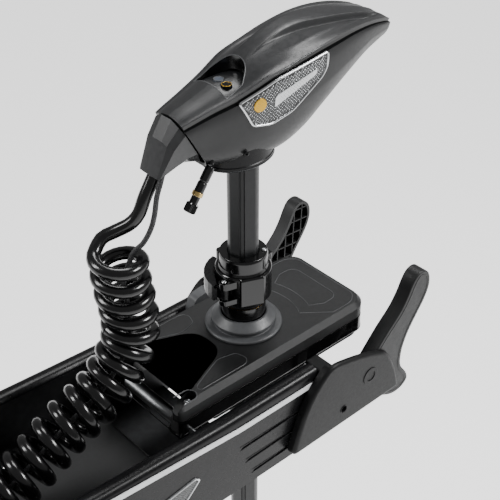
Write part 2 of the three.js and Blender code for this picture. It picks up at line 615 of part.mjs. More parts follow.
place('head_lower_shell', lowerShell, DARK_GREY);
place('head_top_cover', topCover, CHARCOAL);
place('head_trim_band', band, GLOSS_BLACK);
place('badge_rim_port', badgeRim, CHROME);
place('badge_rim_starboard', acrossShaft(badgeRim), CHROME);
place('badge_plate_port', badgePlate, GLOSS_BLACK);
place('badge_plate_starboard', acrossShaft(badgePlate), GLOSS_BLACK);

// nose: a faceted funnel from the front of the shells down to the cords' outlet
const NOSE_RINGS = [
  [[-94.5, 17, 288], [-90.5, 21, 283], [-76.5, 21, 258], [-67.8, 14, 244]],
  [[-108, 15, 275], [-104, 20, 271], [-88, 19, 256], [-80, 12, 247]],
  [[-121, 14, 244], [-119, 16, 244.5], [-101, 15, 250], [-98, 10, 251]],
];
function noseLoft(scale, extend) {
  const rings = NOSE_RINGS.map((half) => {
    const all = [...half, ...half.map(([x, y, z]) => [x, -y, z]).reverse()];
    const points = all.map(([x, y, z]) => new THREE.Vector3(x, y, z)
      .add(new THREE.Vector3(SHAFT_X, SHAFT_Y, HOUSING_TOP)));
    const middle = points.reduce((sum, p) => sum.add(p), new THREE.Vector3())
      .divideScalar(points.length);
    return points.map((p) => p.sub(middle).multiplyScalar(scale).add(middle));
  });
  if (extend) {
    rings[0].forEach((p) => p.add(new THREE.Vector3(6, 0, 3)));
    rings[2].forEach((p) => p.add(new THREE.Vector3(-2, 0, -8)));
  }
  return loft(rings);
}
place('head_nose', noseLoft(1, false).subtract(noseLoft(0.82, true)), TEXTURED_BLACK);

// status window, sunk under the cover's opening, with two push buttons standing in it
const windowPlate = headSolid(6).subtract(headSolid(8.5))
  .intersect(prismZ(windowOutline(-1.5), 425, 520));
const BUTTON_R = 5.5;
const BUTTON_FOOT = 439; // heights of a button's two ends
const BUTTON_TOP = 451;
const WINDOW_BUTTONS = { power_button: [-28, 3.5], mode_button: [-30, -10.3] };
const button = ([x, y], r, low, high) => turnedZ(rod(r, low, high), SHAFT_X + x, SHAFT_Y + y, 24);
const windowDrilled = Object.values(WINDOW_BUTTONS).reduce(
  (piece, at) => piece.subtract(button(at, BUTTON_R + GAP, 430, 520)), windowPlate,
);
place('status_window', windowDrilled, GLOSS_BLACK);
for (const [name, at] of Object.entries(WINDOW_BUTTONS)) {
  place(name, button(at, BUTTON_R, BUTTON_FOOT, BUTTON_TOP), RING_GREY);
}
place('circuit_board', box(
  SHAFT_X - 42, SHAFT_X + 62, SHAFT_Y - 22, SHAFT_Y + 22, HOUSING_TOP + 296, HOUSING_TOP + 298,
), BOARD_GREEN);

// neck skirt between head and shaft
const skirtOutline = [];
for (let k = 0; k < 28; k += 1) {
  const angle = (2 * Math.PI * k) / 28;
  skirtOutline.push([-8 + 42 * Math.cos(angle), 33 * Math.sin(angle)]);
}
place('neck_skirt', prismZ(outline(aboutShaft(skirtOutline)), HOUSING_TOP + 221, HOUSING_TOP + 262)
  .subtract(headSolid(-GAP)).subtract(SHAFT_HOLE), SATIN_BLACK);

// sonar lead's connector, hanging under the nose
const connectorAxis = (piece) => piece.rotate([0, 36, 0])
  .translate([SHAFT_X - 62, SHAFT_Y - 24, HOUSING_TOP + 242]);
place('connector_body', connectorAxis(turnedZ([
  [0, -34], [3.5, -34], [3.5, -30], [5, -30], [5, -6], [4, -2], [0, -2],
], 0, 0, 20)), RUBBER);
place('connector_cap', connectorAxis(turnedZ([
  [0, -52], [6, -52], [6.5, -50], [6.5, -42], [4.6, -42], [4.6, -34.3], [0, -34.3],
], 0, 0, 20)), GLOSS_BLACK);

// ---------------------------------------------------------------- motor pod
const podPiece = (profile, segments = 28) =>
  turnedX(profile.map(([r, x]) => [r, SHAFT_X + x]), SHAFT_Y, POD_Z, segments);
const NECK_TOP = SHAFT_BOTTOM + 34;
const neckBore = turnedZ(
  rod(SHAFT_R + GAP, SHAFT_BOTTOM - GAP, NECK_TOP + 5), SHAFT_X, SHAFT_Y, 40,
);
const motorTube = podPiece(rod(POD_R, -POD_HALF, POD_HALF))
  .add(turnedZ([[0, POD_Z], [27, POD_Z], [27, SHAFT_BOTTOM - 4], [23, NECK_TOP], [0, NECK_TOP]],
    SHAFT_X, SHAFT_Y))
  .subtract(podPiece(rod(POD_R - POD_WALL, -POD_HALF - 1, POD_HALF + 1)))
  .subtract(neckBore)
  .subtract(turnedZ(rod(8, POD_Z, SHAFT_BOTTOM + 5), SHAFT_X, SHAFT_Y, 16));
place('motor_tube', motorTube, POD_PAINT);
place('nose_cone', podPiece([
  [POD_R, POD_HALF + GAP], [POD_R, POD_HALF + 20], [44, POD_HALF + 45], [39, POD_HALF + 70],
  [30, POD_HALF + 92], [18, POD_HALF + 108], [8, POD_HALF + 115], [0, POD_HALF + 117],
  [0, POD_HALF + 111], [16, POD_HALF + 104], [34, POD_HALF + 72], [39, POD_HALF + 45],
  [41, POD_HALF + 20], [41, POD_HALF + GAP], [POD_R, POD_HALF + GAP],
]), POD_PAINT);
place('rear_end_bell', podPiece([
  [POD_R, -POD_HALF - GAP], [41, -POD_HALF - GAP], [41, -POD_HALF - 6], [16.3, -POD_HALF - 6],
  [16.3, -POD_HALF - 16], [8, -POD_HALF - 16], [8, -POD_HALF - 66], [20, -POD_HALF - 66],
  [24, -POD_HALF - 60], [36, -POD_HALF - 30], [43, -POD_HALF - 12], [POD_R, -POD_HALF - GAP],
]), POD_PAINT);
const bearing = (x, r) => podPiece(ring(6 + GAP, r, x, x + 8), 24);
place('rear_bearing', bearing(-POD_HALF - 15.5, 16), STEEL);
const frontPlate = podPiece(ring(16.3, 40.5, 60, 66), 32)
  .subtract(podPiece(ring(24, 33, 50, 70), 32).intersect(
    box(SHAFT_X, SHAFT_X + 100, SHAFT_Y - 60, SHAFT_Y + 60, POD_Z, POD_Z + 60),
  ));
place('brush_plate', frontPlate, DARK_GREY);
place('front_bearing', bearing(59, 16), STEEL);
const magnet = podPiece(ring(37.3, 41.6, -38, 38), 32)
  .intersect(box(0, 400, SHAFT_Y - 34, SHAFT_Y + 34, POD_Z, POD_Z + 60));
place('magnet_upper', magnet, MAGNET);
place('magnet_lower', magnet.translate([0, 0, -POD_Z]).mirror([0, 0, 1]).translate([0, 0, POD_Z]),
  MAGNET);
const skegSide = outline([
  [-70, -POD_R + 1], [40, -POD_R + 1], [18, -POD_R - 30], [-10, -POD_R - 78],
  [-48, -POD_R - 92], [-66, -POD_R - 88], [-62, -POD_R - 40],
].map(([x, z]) => [SHAFT_X + x, POD_Z + z]), 8);
place('skeg', prismY(skegSide, SHAFT_Y - 3, SHAFT_Y + 3)
  .subtract(podPiece(rod(POD_R + GAP, -200, 200))), POD_PAINT);

// armature, turning with the propeller
place('motor_shaft', podPiece(rod(6, PROP_X - 26, 72), 20), STEEL);
place('armature', podPiece([
  [6 + GAP, -46], [16, -46], [28, -42], [31, -34], [36, -34], [36, 34], [31, 34], [28, 42],
  [16, 46], [6 + GAP, 46], [6 + GAP, -46],
], 32), COPPER);
place('commutator', podPiece(ring(6 + GAP, 14, 47, 57), 24), BRASS);
const HUB_R = 22;
function propeller() {
  const hub = podPiece([
    [6 + GAP, PROP_X - 16], [14, PROP_X - 16], [HUB_R, PROP_X - 4], [HUB_R, PROP_X + 22],
    [18, PROP_X + 26], [6 + GAP, PROP_X + 26], [6 + GAP, PROP_X - 16],
  ], 32);
  const sections = [12, 30, 55, 80, 105, 125, PROP_R].map((r) => {
    const part = r / PROP_R;
    const chord = 34 + 46 * Math.sin(Math.PI * Math.min(1, part * 0.95)) - 22 * part ** 6;
    const thick = 3.2 - 2 * part;
    const pitch = Math.atan2(48, r + 14);
    const sweep = -26 * part ** 2;
    const points = [];
    for (let k = 0; k < 12; k += 1) {
      const angle = (2 * Math.PI * k) / 12;
      const along = (chord / 2) * Math.cos(angle) + sweep;
      const off = thick * Math.sin(angle);
      points.push(new THREE.Vector3(
        SHAFT_X + PROP_X + 3 + along * Math.sin(pitch) + off * Math.cos(pitch),
        SHAFT_Y + along * Math.cos(pitch) - off * Math.sin(pitch),
        POD_Z + r,
      ));
    }
    return points;
  });
  const blade = loft(sections);
  const other = blade.translate([-SHAFT_X, -SHAFT_Y, -POD_Z]).rotate([180, 0, 0])
    .translate([SHAFT_X, SHAFT_Y, POD_Z]);
  return hub.add(blade).add(other).subtract(podPiece(rod(6 + GAP, -260, 0), 24));
}
place('propeller', propeller(), PROP_BLACK);
place('propeller_nut', podPiece(rod(11, PROP_X - 26, PROP_X - 16.5), 6)
  .subtract(podPiece(rod(6 + GAP, PROP_X - 30, PROP_X), 20)), STEEL);

// ---------------------------------------------------------------- cords
// the coil cord's turns, as one round envelope, hang from the nose and bend onto the floor pad
const COIL_LINE = [
  [-164, 170], [-161, 134], [-157, 110], [-155, 86], [-157, 63], [-168, 42], [-183, 25],
  [-202, 10], [-226, 0], [-252, -12], [-285, -30], [-318, -47], [-348, -59],
].map(([x, z]) => [SHAFT_X + x, SHAFT_Y, HOUSING_TOP + z]);
place('coil_cord', cordSolid(COIL_LINE, COIL_R, 10, 26), RUBBER);
const fromShaft = (points) => points.map(
  ([x, y, z]) => [SHAFT_X + x, SHAFT_Y + y, HOUSING_TOP + z],
);
place('coil_cord_upper_lead', cordSolid(fromShaft([
  [-108.5, 2, 247], [-114, 2, 237], [-125.5, 1, 219], [-134, 0, 199], [-144, -1, 185],
  [-158, -2, 178.5], [-172, -3, 177],
]), CORD_R, 10, 12), RUBBER);
place('coil_cord_lower_lead', cordSolid(fromShaft([
  [-356, 4, -62], [-372, 3, -62], [-390, 1, -62], [-415, 0, -62],
]), CORD_R, 10, 6), RUBBER);
place('braided_lead', cordSolid(fromShaft([
  [-109, -8.5, 247], [-114, -9, 235], [-120, -10, 222], [-124, -10, 203], [-129, -9, 188],
  [-136, -9, 180], [-143, -8.5, 175],
]), BRAID_R, 8, 12), RUBBER);

export default trollingMotor;
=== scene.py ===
"""The looks of a bow-mount trolling motor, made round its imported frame.

The tables hold millimetres: rel() measures them from the shaft's axis and the housing's top,
and row() from the row's origin. Everything else is in metres.
"""
import json
import math

import bmesh
import bpy
from mathutils import Matrix, Vector


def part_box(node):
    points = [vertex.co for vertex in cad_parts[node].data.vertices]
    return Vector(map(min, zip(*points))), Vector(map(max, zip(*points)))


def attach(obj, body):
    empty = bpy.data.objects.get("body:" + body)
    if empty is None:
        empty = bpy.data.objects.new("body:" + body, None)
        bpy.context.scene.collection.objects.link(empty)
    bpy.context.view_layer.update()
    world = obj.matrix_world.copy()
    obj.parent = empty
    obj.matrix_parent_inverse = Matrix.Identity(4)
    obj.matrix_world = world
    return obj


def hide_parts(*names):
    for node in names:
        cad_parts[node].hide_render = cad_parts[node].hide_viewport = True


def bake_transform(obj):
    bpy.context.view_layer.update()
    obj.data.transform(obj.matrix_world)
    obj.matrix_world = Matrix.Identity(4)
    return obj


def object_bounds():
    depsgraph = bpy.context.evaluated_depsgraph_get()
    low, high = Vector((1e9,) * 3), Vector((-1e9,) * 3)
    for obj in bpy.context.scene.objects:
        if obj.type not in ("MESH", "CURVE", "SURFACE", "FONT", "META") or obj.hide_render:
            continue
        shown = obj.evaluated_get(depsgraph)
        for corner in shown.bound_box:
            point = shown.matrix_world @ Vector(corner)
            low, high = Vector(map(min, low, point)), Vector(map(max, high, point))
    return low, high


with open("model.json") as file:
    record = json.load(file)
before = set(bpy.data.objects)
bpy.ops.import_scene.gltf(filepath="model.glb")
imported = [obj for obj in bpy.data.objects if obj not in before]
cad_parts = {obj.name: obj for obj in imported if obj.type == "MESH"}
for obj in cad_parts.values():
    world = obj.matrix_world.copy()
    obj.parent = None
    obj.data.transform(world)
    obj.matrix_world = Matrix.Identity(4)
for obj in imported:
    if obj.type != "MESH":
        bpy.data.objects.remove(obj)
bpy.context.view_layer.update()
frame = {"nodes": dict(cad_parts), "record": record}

MM = 0.001
SLOT = {part["node"]: part["material_slot"] for part in frame["record"]["subparts"]}
BODY = {n: b for b, nodes in frame["record"]["behaviour"]["bodies"].items() for n in nodes}
shaft_low, shaft_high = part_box("shaft_tube")
AXIS = (shaft_low + shaft_high) / 2
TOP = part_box("housing_cover")[1].z
ORIGIN = Vector((AXIS.x, AXIS.y, TOP))


def row(x, y, z):
    return Vector((x, y, z)) * MM


def rel(x, y, z):
    return ORIGIN + row(x, y, z)


# ---------------------------------------------------------------- camera and light
def make_camera():
    data = bpy.data.cameras.new("camera")
    data.lens = 80.64
    data.clip_start = 0.01
    data.clip_end = 20
    camera = bpy.data.objects.new("camera", data)
    bpy.context.scene.collection.objects.link(camera)
    azimuth, down = math.radians(48), math.radians(35)
    forward = Vector((math.cos(azimuth) * math.cos(down), math.sin(azimuth) * math.cos(down),
                      -math.sin(down)))
    camera.location = row(-464, -755.8, 937.4)
    camera.rotation_euler = forward.to_track_quat("-Z", "Y").to_euler()
    bpy.context.scene.camera = camera


def area_light(name, place, aim, size, power):
    data = bpy.data.lights.new(name, "AREA")
    data.shape = "RECTANGLE"
    data.size, data.size_y = size
    data.energy = power
    light = bpy.data.objects.new(name, data)
    bpy.context.scene.collection.objects.link(light)
    light.location = place
    light.rotation_euler = (Vector(aim) - Vector(place)).to_track_quat("-Z", "Y").to_euler()


def make_studio():
    world = bpy.data.worlds.new("studio")
    bpy.context.scene.world = world
    world.use_nodes = True
    background = world.node_tree.nodes["Background"]
    background.inputs["Color"].default_value = (1, 1, 1, 1)
    background.inputs["Strength"].default_value = 0.3
    aim = (0.15, 0, 0.25)
    area_light("left_box", (-1.3, 0.9, 1.5), aim, (0.5, 1.1), 30)
    area_light("right_box", (1.25, -1.1, 1.45), aim, (0.8, 0.45), 42)
    area_light("top_box", (0.9, 0.5, 2.0), aim, (0.8, 0.8), 22)
    bpy.ops.mesh.primitive_plane_add(size=14, location=(0, 0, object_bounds()[0].z - 0.002))
    floor = bpy.context.object
    floor.name = "floor"
    pale = bpy.data.materials.new("pale_floor")
    pale.use_nodes = True
    shader = pale.node_tree.nodes["Principled BSDF"]
    shader.inputs["Base Color"].default_value = (0.93, 0.93, 0.93, 1)
    shader.inputs["Roughness"].default_value = 0.9
    shader.inputs["Emission Color"].default_value = (1, 1, 1, 1)
    shader.inputs["Emission Strength"].default_value = 1.3
    floor.data.materials.append(pale)


# ---------------------------------------------------------------- materials
def shader_nodes(name):
    material = bpy.data.materials.new(name)
    material.use_nodes = True
    tree = material.node_tree
    coordinates = tree.nodes.new("ShaderNodeTexCoord")
    return material, tree, tree.nodes["Principled BSDF"], coordinates.outputs["Object"]


def noise(tree, vector, grain_mm, detail=3):
    node = tree.nodes.new("ShaderNodeTexNoise")
    node.inputs["Scale"].default_value = 1 / (grain_mm * MM)
    node.inputs["Detail"].default_value = detail
    tree.links.new(vector, node.inputs["Vector"])
    return node.outputs["Fac"]


def between(tree, factor, low, high):
    node = tree.nodes.new("ShaderNodeMapRange")
    node.inputs["From Min"].default_value = 0.3
    node.inputs["From Max"].default_value = 0.7
    node.inputs["To Min"].default_value = low
    node.inputs["To Max"].default_value = high
    tree.links.new(factor, node.inputs["Value"])
    return node.outputs["Result"]


def mottled(tree, shader, vector, color, amount, size_mm):
    ramp = tree.nodes.new("ShaderNodeValToRGB")
    for element, share in zip(ramp.color_ramp.elements, (1 - amount, 1 + amount)):
        element.color = (*(min(1, c * share) for c in color), 1)
    ramp.color_ramp.elements[0].position = 0.35
    ramp.color_ramp.elements[1].position = 0.65
    tree.links.new(noise(tree, vector, size_mm, 4), ramp.inputs["Fac"])
    tree.links.new(ramp.outputs["Color"], shader.inputs["Base Color"])


def bumped(tree, shader, height, depth_mm, strength):
    bump = tree.nodes.new("ShaderNodeBump")
    bump.inputs["Strength"].default_value = strength
    bump.inputs["Distance"].default_value = depth_mm * MM
    tree.links.new(height, bump.inputs["Height"])
    tree.links.new(bump.outputs["Normal"], shader.inputs["Normal"])


def finish_of(name, color, rough, metal=0.0, grain=0.5, depth=0.02, mottle=0.12, spread=0.05,
              stretch=None, shine=0.5):
    """A moulded, painted or machined surface: mottled colour, uneven gloss and a fine grain."""
    material, tree, shader, vector = shader_nodes(name)
    shader.inputs["Metallic"].default_value = metal
    shader.inputs["Specular IOR Level"].default_value = shine
    mottled(tree, shader, vector, color, mottle, 9)
    tree.links.new(between(tree, noise(tree, vector, 4), rough - spread, rough + spread),
                   shader.inputs["Roughness"])
    if stretch:
        mapping = tree.nodes.new("ShaderNodeMapping")
        mapping.inputs["Scale"].default_value = stretch
        tree.links.new(vector, mapping.inputs["Vector"])
        vector = mapping.outputs["Vector"]
    bumped(tree, shader, noise(tree, vector, grain, 2), depth, 0.6)
    return material


def braid_finish():
    """Woven nylon: a pattern of small cells round the lead, with pale flecks."""
    material, tree, shader, vector = shader_nodes("braid")
    cells = tree.nodes.new("ShaderNodeTexVoronoi")
    cells.inputs["Scale"].default_value = 1 / (1.1 * MM)
    tree.links.new(vector, cells.inputs["Vector"])
    ramp = tree.nodes.new("ShaderNodeValToRGB")
    ramp.color_ramp.elements[0].color = (0.16, 0.16, 0.165, 1)
    ramp.color_ramp.elements[1].color = (0.01, 0.01, 0.011, 1)
    ramp.color_ramp.elements[1].position = 0.42
    tree.links.new(cells.outputs["Distance"], ramp.inputs["Fac"])
    tree.links.new(ramp.outputs["Color"], shader.inputs["Base Color"])
    shader.inputs["Roughness"].default_value = 0.55
    bumped(tree, shader, cells.outputs["Distance"], 0.25, 0.8)
    return material


MATERIALS = {
    "alloy": finish_of("alloy", (0.045, 0.046, 0.048), 0.42, metal=0.85, stretch=(1, 14, 14)),
    "satin_black": finish_of("satin_black", (0.005, 0.005, 0.0055), 0.30, depth=0.008, shine=0.18),
    "textured_black": finish_of("textured_black", (0.0075, 0.0078, 0.0082), 0.46, grain=0.55,
                                depth=0.13, shine=0.4),
    "gloss_black": finish_of("gloss_black", (0.0022, 0.0022, 0.0024), 0.14, depth=0.006),
    "charcoal": finish_of("charcoal", (0.016, 0.0165, 0.0175), 0.36, depth=0.012),
    "flank": finish_of("flank", (0.0085, 0.0088, 0.0093), 0.36, depth=0.015,
                       shine=0.35),
    "dark_grey": finish_of("dark_grey", (0.0065, 0.0067, 0.007), 0.42, grain=0.45,
                           depth=0.08, shine=0.18),
    # ring_grey is the real grey of the shaft ring, pedal and button halos, and also colours pale lines that are
    # painted highlights: cover lines, window lip, neck line
    "ring_grey": finish_of("ring_grey", (0.060, 0.062, 0.065), 0.42, depth=0.03),
    "light_stripe": finish_of("light_stripe", (0.74, 0.75, 0.76), 0.3, mottle=0.04),
    "composite": finish_of("composite", (0.009, 0.0094, 0.01), 0.4, stretch=(1, 1, 0.04),
                           grain=0.35, depth=0.04, shine=0.3),
    "steel": finish_of("steel", (0.56, 0.57, 0.58), 0.26, metal=1.0, stretch=(1, 1, 12)),
    # steel painted darker: painted shade for the pivot rod down in the housing's notch
    "worn_steel": finish_of("worn_steel", (0.20, 0.205, 0.21), 0.34, metal=1.0),
    "chrome": finish_of("chrome", (0.60, 0.61, 0.62), 0.14, metal=1.0, mottle=0.04, depth=0.006),
    "brass": finish_of("brass", (0.60, 0.43, 0.17), 0.28, metal=1.0),
    "copper": finish_of("copper", (0.46, 0.20, 0.09), 0.38, metal=1.0, stretch=(0.1, 2, 2)),
    "magnet": finish_of("magnet", (0.03, 0.031, 0.034), 0.55, metal=0.3),
    "board": finish_of("board", (0.01, 0.07, 0.02), 0.45),
    "rubber": finish_of("rubber", (0.0022, 0.0022, 0.0024), 0.19, grain=0.9, depth=0.015,
                        spread=0.04),
    "pod_paint": finish_of("pod_paint", (0.010, 0.011, 0.012), 0.3, depth=0.02),
    "prop_black": finish_of("prop_black", (0.009, 0.009, 0.010), 0.26, depth=0.02),
    "stud_grey": finish_of("stud_grey", (0.36, 0.365, 0.37), 0.3, metal=0.9, depth=0.005),
    "window_grey": finish_of("window_grey", (0.012, 0.0125, 0.0135), 0.32, depth=0.004),
    "braid": braid_finish(),
    "button_blue": finish_of("button_blue", (0.055, 0.065, 0.085), 0.3),
    "gold": finish_of("gold", (0.55, 0.33, 0.045), 0.3, metal=1.0, mottle=0.05),
}


# ---------------------------------------------------------------- mesh tools
def made(name, points, faces):
    mesh = bpy.data.meshes.new(name)
    mesh.from_pydata([tuple(p) for p in points], [], faces)
    obj = bpy.data.objects.new(name, mesh)
    bpy.context.scene.collection.objects.link(obj)
    whole = bmesh.new()
    whole.from_mesh(mesh)
    bmesh.ops.remove_doubles(whole, verts=whole.verts, dist=2e-6)
    caps = [face for face in whole.faces if len(face.verts) > 4]
    bmesh.ops.triangulate(whole, faces=caps, ngon_method="EAR_CLIP")
    bmesh.ops.recalc_face_normals(whole, faces=whole.faces)
    if whole.calc_volume(signed=True) < 0:
        bmesh.ops.reverse_faces(whole, faces=whole.faces)
    whole.to_mesh(mesh)
    whole.free()
    return obj


def apply(obj):
    """Turns the object's modifiers into its mesh."""
    graph = bpy.context.evaluated_depsgraph_get()
    mesh = bpy.data.meshes.new_from_object(obj.evaluated_get(graph))
    obj.modifiers.clear()
    obj.data = mesh
    return obj


def bevelled(obj, width, segments=3, angle=30):
    modifier = obj.modifiers.new("bevel", "BEVEL")
    modifier.width = width * MM
    modifier.segments = segments
    modifier.limit_method = "ANGLE"
    modifier.angle_limit = math.radians(angle)
    return apply(obj)


def cut(obj, tool, operation="DIFFERENCE"):
    modifier = obj.modifiers.new("cut", "BOOLEAN")
    modifier.operation = operation
    modifier.object = tool
    modifier.solver = "MANIFOLD"
    apply(obj)
    bpy.data.objects.remove(tool)
    return obj


def joined(obj, *others):
    """The others' meshes added to the object's own, each keeping its materials."""
    whole = bmesh.new()
    whole.from_mesh(obj.data)
    for other in others:
        whole.from_mesh(other.data)
        bpy.data.objects.remove(other)
    whole.to_mesh(obj.data)
    whole.free()
    return obj


def dressed(obj, look, body, stands_for=(), smooth=32):
    """Gives a finished piece its materials, shading, body and material slot."""
    looks = [look] if isinstance(look, str) else look
    obj.data.materials.clear()
    for one in looks:
        obj.data.materials.append(MATERIALS[one])
    obj.data.shade_smooth()
    obj.data.set_sharp_from_angle(angle=math.radians(smooth))
    normals = obj.modifiers.new("normals", "WEIGHTED_NORMAL")
    normals.keep_sharp = True
    stands_for = [stands_for] if isinstance(stands_for, str) else stands_for
    if stands_for:
        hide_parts(*stands_for)
    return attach(obj, body)


def refined(node, look, bevel=0.8, smooth=30, segments=3):
    """A CAD node with its flat faces joined and its edges rounded."""
    whole = bmesh.new()
    whole.from_mesh(frame["nodes"][node].data)
    bmesh.ops.remove_doubles(whole, verts=whole.verts, dist=1e-5)
    bmesh.ops.dissolve_limit(whole, angle_limit=math.radians(1), verts=whole.verts,
                             edges=whole.edges)
    mesh = bpy.data.meshes.new(node + "_fine")
    whole.to_mesh(mesh)
    whole.free()
    obj = bpy.data.objects.new(node + "_fine", mesh)
    bpy.context.scene.collection.objects.link(obj)
    bevelled(obj, bevel, segments)
    return dressed(obj, look, BODY[node], node, smooth)


def rounded(corners, radius, steps=5, closed=True):
    """The outline with each corner drawn as a curve that starts up to radius before it."""
    at = [Vector(c) for c in corners]
    points = []
    for i, corner in enumerate(at):
        if not closed and i in (0, len(at) - 1):
            points.append(corner)
            continue
        before, after = at[i - 1], at[(i + 1) % len(at)]
        start = corner.lerp(before, min(0.49, radius / (corner - before).length))
        end = corner.lerp(after, min(0.49, radius / (corner - after).length))
        for k in range(steps + 1):
            t = k / steps
            points.append(start.lerp(corner, t).lerp(corner.lerp(end, t), t))
    return points


def inset(points, distance):
    """A closed outline drawn inward by a distance."""
    area = sum(a.x * b.y - b.x * a.y for a, b in zip(points, points[1:] + points[:1]))
    turn = 1 if area > 0 else -1
    moved = []
    for i, point in enumerate(points):
        along = (points[(i + 1) % len(points)] - points[i - 1]).normalized()
        moved.append(point + Vector((-along.y, along.x)) * distance * turn)
    return moved


PLANES = {"XY": lambda a, b, c: (a, b, c), "XZ": lambda a, b, c: (a, c, b),
          "YZ": lambda a, b, c: (c, a, b)}


def rings_solid(name, rings, place):
    """A closed solid over rings of equally many points, with a flat face at each end."""
    size = len(rings[0])
    points = [place(*p) for ring in rings for p in ring]
    faces = [list(range(size)), list(range(len(points) - size, len(points)))]
    for r in range(len(rings) - 1):
        for k in range(size):
            a, b = r * size + k, r * size + (k + 1) % size
            faces.append([a, b, b + size, a + size])
    return made(name, points, faces)


def prism(name, outline, low, high, plane="XY", place=rel):
    order = PLANES[plane]
    rings = [[order(p[0], p[1], level) for p in outline] for level in (low, high)]
    return rings_solid(name, rings, place)


def pillow(name, outline, back, front, round_by, plane="XZ", place=row, steps=5):
    """A plate whose front edge is rounded over by round_by."""
    order = PLANES[plane]
    sign = 1 if front > back else -1
    rings = [[order(p[0], p[1], back) for p in outline]]
    for k in range(steps + 1):
        angle = math.pi / 2 * k / steps
        drawn = inset(outline, round_by * (1 - math.cos(angle)))
        level = front - sign * round_by * (1 - math.sin(angle))
        rings.append([order(p[0], p[1], level) for p in drawn])
    return rings_solid(name, rings, place)


def turned(name, profile, place, steps=72):
    """A profile of [radius, height], turned about the axis of a placing matrix in millimetres."""
    rings = []
    for radius, height in profile:
        rings.append([
            (radius * math.cos(2 * math.pi * k / steps), radius * math.sin(2 * math.pi * k / steps),
             height) for k in range(steps)
        ])
    points = [place @ Vector(p) for ring in rings for p in ring]
    faces = []
    for r in range(len(rings) - 1):
        for k in range(steps):
            a, b = r * steps + k, r * steps + (k + 1) % steps
            faces.append([a, b, b + steps, a + steps])
    if profile[0] != profile[-1]:
        faces += [list(range(steps)), list(range(len(points) - steps, len(points)))]
    return made(name, points, faces)


def upright(x, y, z=0.0, place=rel):
    return Matrix.Translation(place(x, y, z)) @ Matrix.Scale(MM, 4)


def sideways(x, y, z, direction, place=row):
    """Places a turned profile with its axis along any direction."""
    turn = Vector(direction).to_track_quat("Z", "Y").to_matrix().to_4x4()
    return Matrix.Translation(place(x, y, z)) @ turn @ Matrix.Scale(MM, 4)


def filleted(profile, radius, steps=4):
    """A turned profile with its corners rounded, as pairs of numbers."""
    closed = profile[0] == profile[-1]
    points = rounded(profile[:-1] if closed else profile, radius, steps, closed)
    pairs = [(p.x, p.y) for p in points]
    return pairs + pairs[:1] if closed else pairs


def curve_through(points, per_span=10):
    """A smooth line through the points."""
    at = [Vector(p) for p in points]
    line = []
    for i in range(len(at) - 1):
        p0, p1, p2 = at[max(i - 1, 0)], at[i], at[i + 1]
        p3 = at[min(i + 2, len(at) - 1)]
        for k in range(per_span):
            t = k / per_span
            line.append(0.5 * (2 * p1 + (p2 - p0) * t + (2 * p0 - 5 * p1 + 4 * p2 - p3) * t * t
                               + (3 * p1 - p0 - 3 * p2 + p3) * t ** 3))
    return line + [at[-1]]


def tube(name, line, radius, sides=12, closed=False):
    """A round tube along a line of points in metres; each ring stands square to the line."""
    count = len(line)
    tangents = []
    for i in range(count):
        before = line[i - 1] if closed or i else line[0]
        after = line[(i + 1) % count] if closed or i + 1 < count else line[-1]
        tangents.append((after - before).normalized())
    side = tangents[0].orthogonal().normalized()
    points = []
    for centre, tangent in zip(line, tangents):
        side = (side - tangent * side.dot(tangent)).normalized()
        other = tangent.cross(side)
        for k in range(sides):
            angle = 2 * math.pi * k / sides
            points.append(centre + (side * math.cos(angle) + other * math.sin(angle)) * radius)
    faces = []
    for r in range(count if closed else count - 1):
        for k in range(sides):
            a, b = r * sides + k, r * sides + (k + 1) % sides
            c, d = (a + sides) % len(points), (b + sides) % len(points)
            faces.append([a, b, d, c])
    if not closed:
        faces += [list(range(sides)), list(range(len(points) - sides, len(points)))]
    mesh = bpy.data.meshes.new(name)
    mesh.from_pydata([tuple(p) for p in points], [], faces)
    mesh.update()
    whole = bmesh.new()
    whole.from_mesh(mesh)
    bmesh.ops.recalc_face_normals(whole, faces=whole.faces)
    whole.to_mesh(mesh)
    whole.free()
    obj = bpy.data.objects.new(name, mesh)
    bpy.context.scene.collection.objects.link(obj)
    return obj


def screw(name, place, radius, body, look="steel", drive=6):
    """A domed screw head with a socket in it."""
    head = turned(name, filleted([(0, 0), (radius, 0), (radius, 0.45 * radius),
                                  (0.55 * radius, 0.72 * radius), (0, 0.75 * radius)],
                                 0.3 * radius), place, 32)
    socket = turned(name + "_socket", [(0.42 * radius, 0.3 * radius), (0.42 * radius, 2 * radius)],
                    place, drive)
    return dressed(cut(head, socket), look, body)


# ---------------------------------------------------------------- cords
CORD_R = 7
TURN_R = 24  # from the coil's centreline to the cord's
TURNS = 15.5
BRAID_R = 2.75
FIRST_ANGLE = math.radians(138)
COIL_LINE = [rel(x, 0, z) for x, z in [
    (-164, 170), (-161, 134), (-157, 110), (-155, 86), (-157, 63), (-168, 42), (-183, 25),
    (-202, 10), (-226, 0), (-252, -12), (-285, -30), (-318, -47), (-348, -59),
]]
UPPER_LEAD = [
    (-108.5, 2, 247), (-114, 2, 237), (-125.5, 2, 219), (-133, 3, 203), (-141, 8, 192),
    (-153, 17, 184), (-166, 23, 178),
]
LOWER_LEAD = [(-345, -3, -80), (-354, 7, -76), (-371, 7, -67), (-392, 2, -62), (-416, 0, -62)]
BRAID_TOP = [
    (-109, -8.5, 247), (-114, -9, 235), (-120, -10, 222), (-124, -10, 203), (-129, -9, 188),
    (-138, -8, 176), (-150, -4, 164),
]
GLAND_END = [(-365, 0, -62), (-390, -2, -62), (-416, -1.5, -62)]


def distances(line):
    """How far along a line each of its points is."""
    total, along = 0.0, [0.0]
    for a, b in zip(line, line[1:]):
        total += (b - a).length
        along.append(total)
    return along


def evenly(line, count):
    """The line again, as count + 1 points at equal distances."""
    along = distances(line)
    points, i = [], 0
    for k in range(count + 1):
        wanted = along[-1] * k / count
        while i < len(line) - 2 and along[i + 1] < wanted:
            i += 1
        points.append(line[i].lerp(line[i + 1], (wanted - along[i]) / (along[i + 1] - along[i])))
    return points


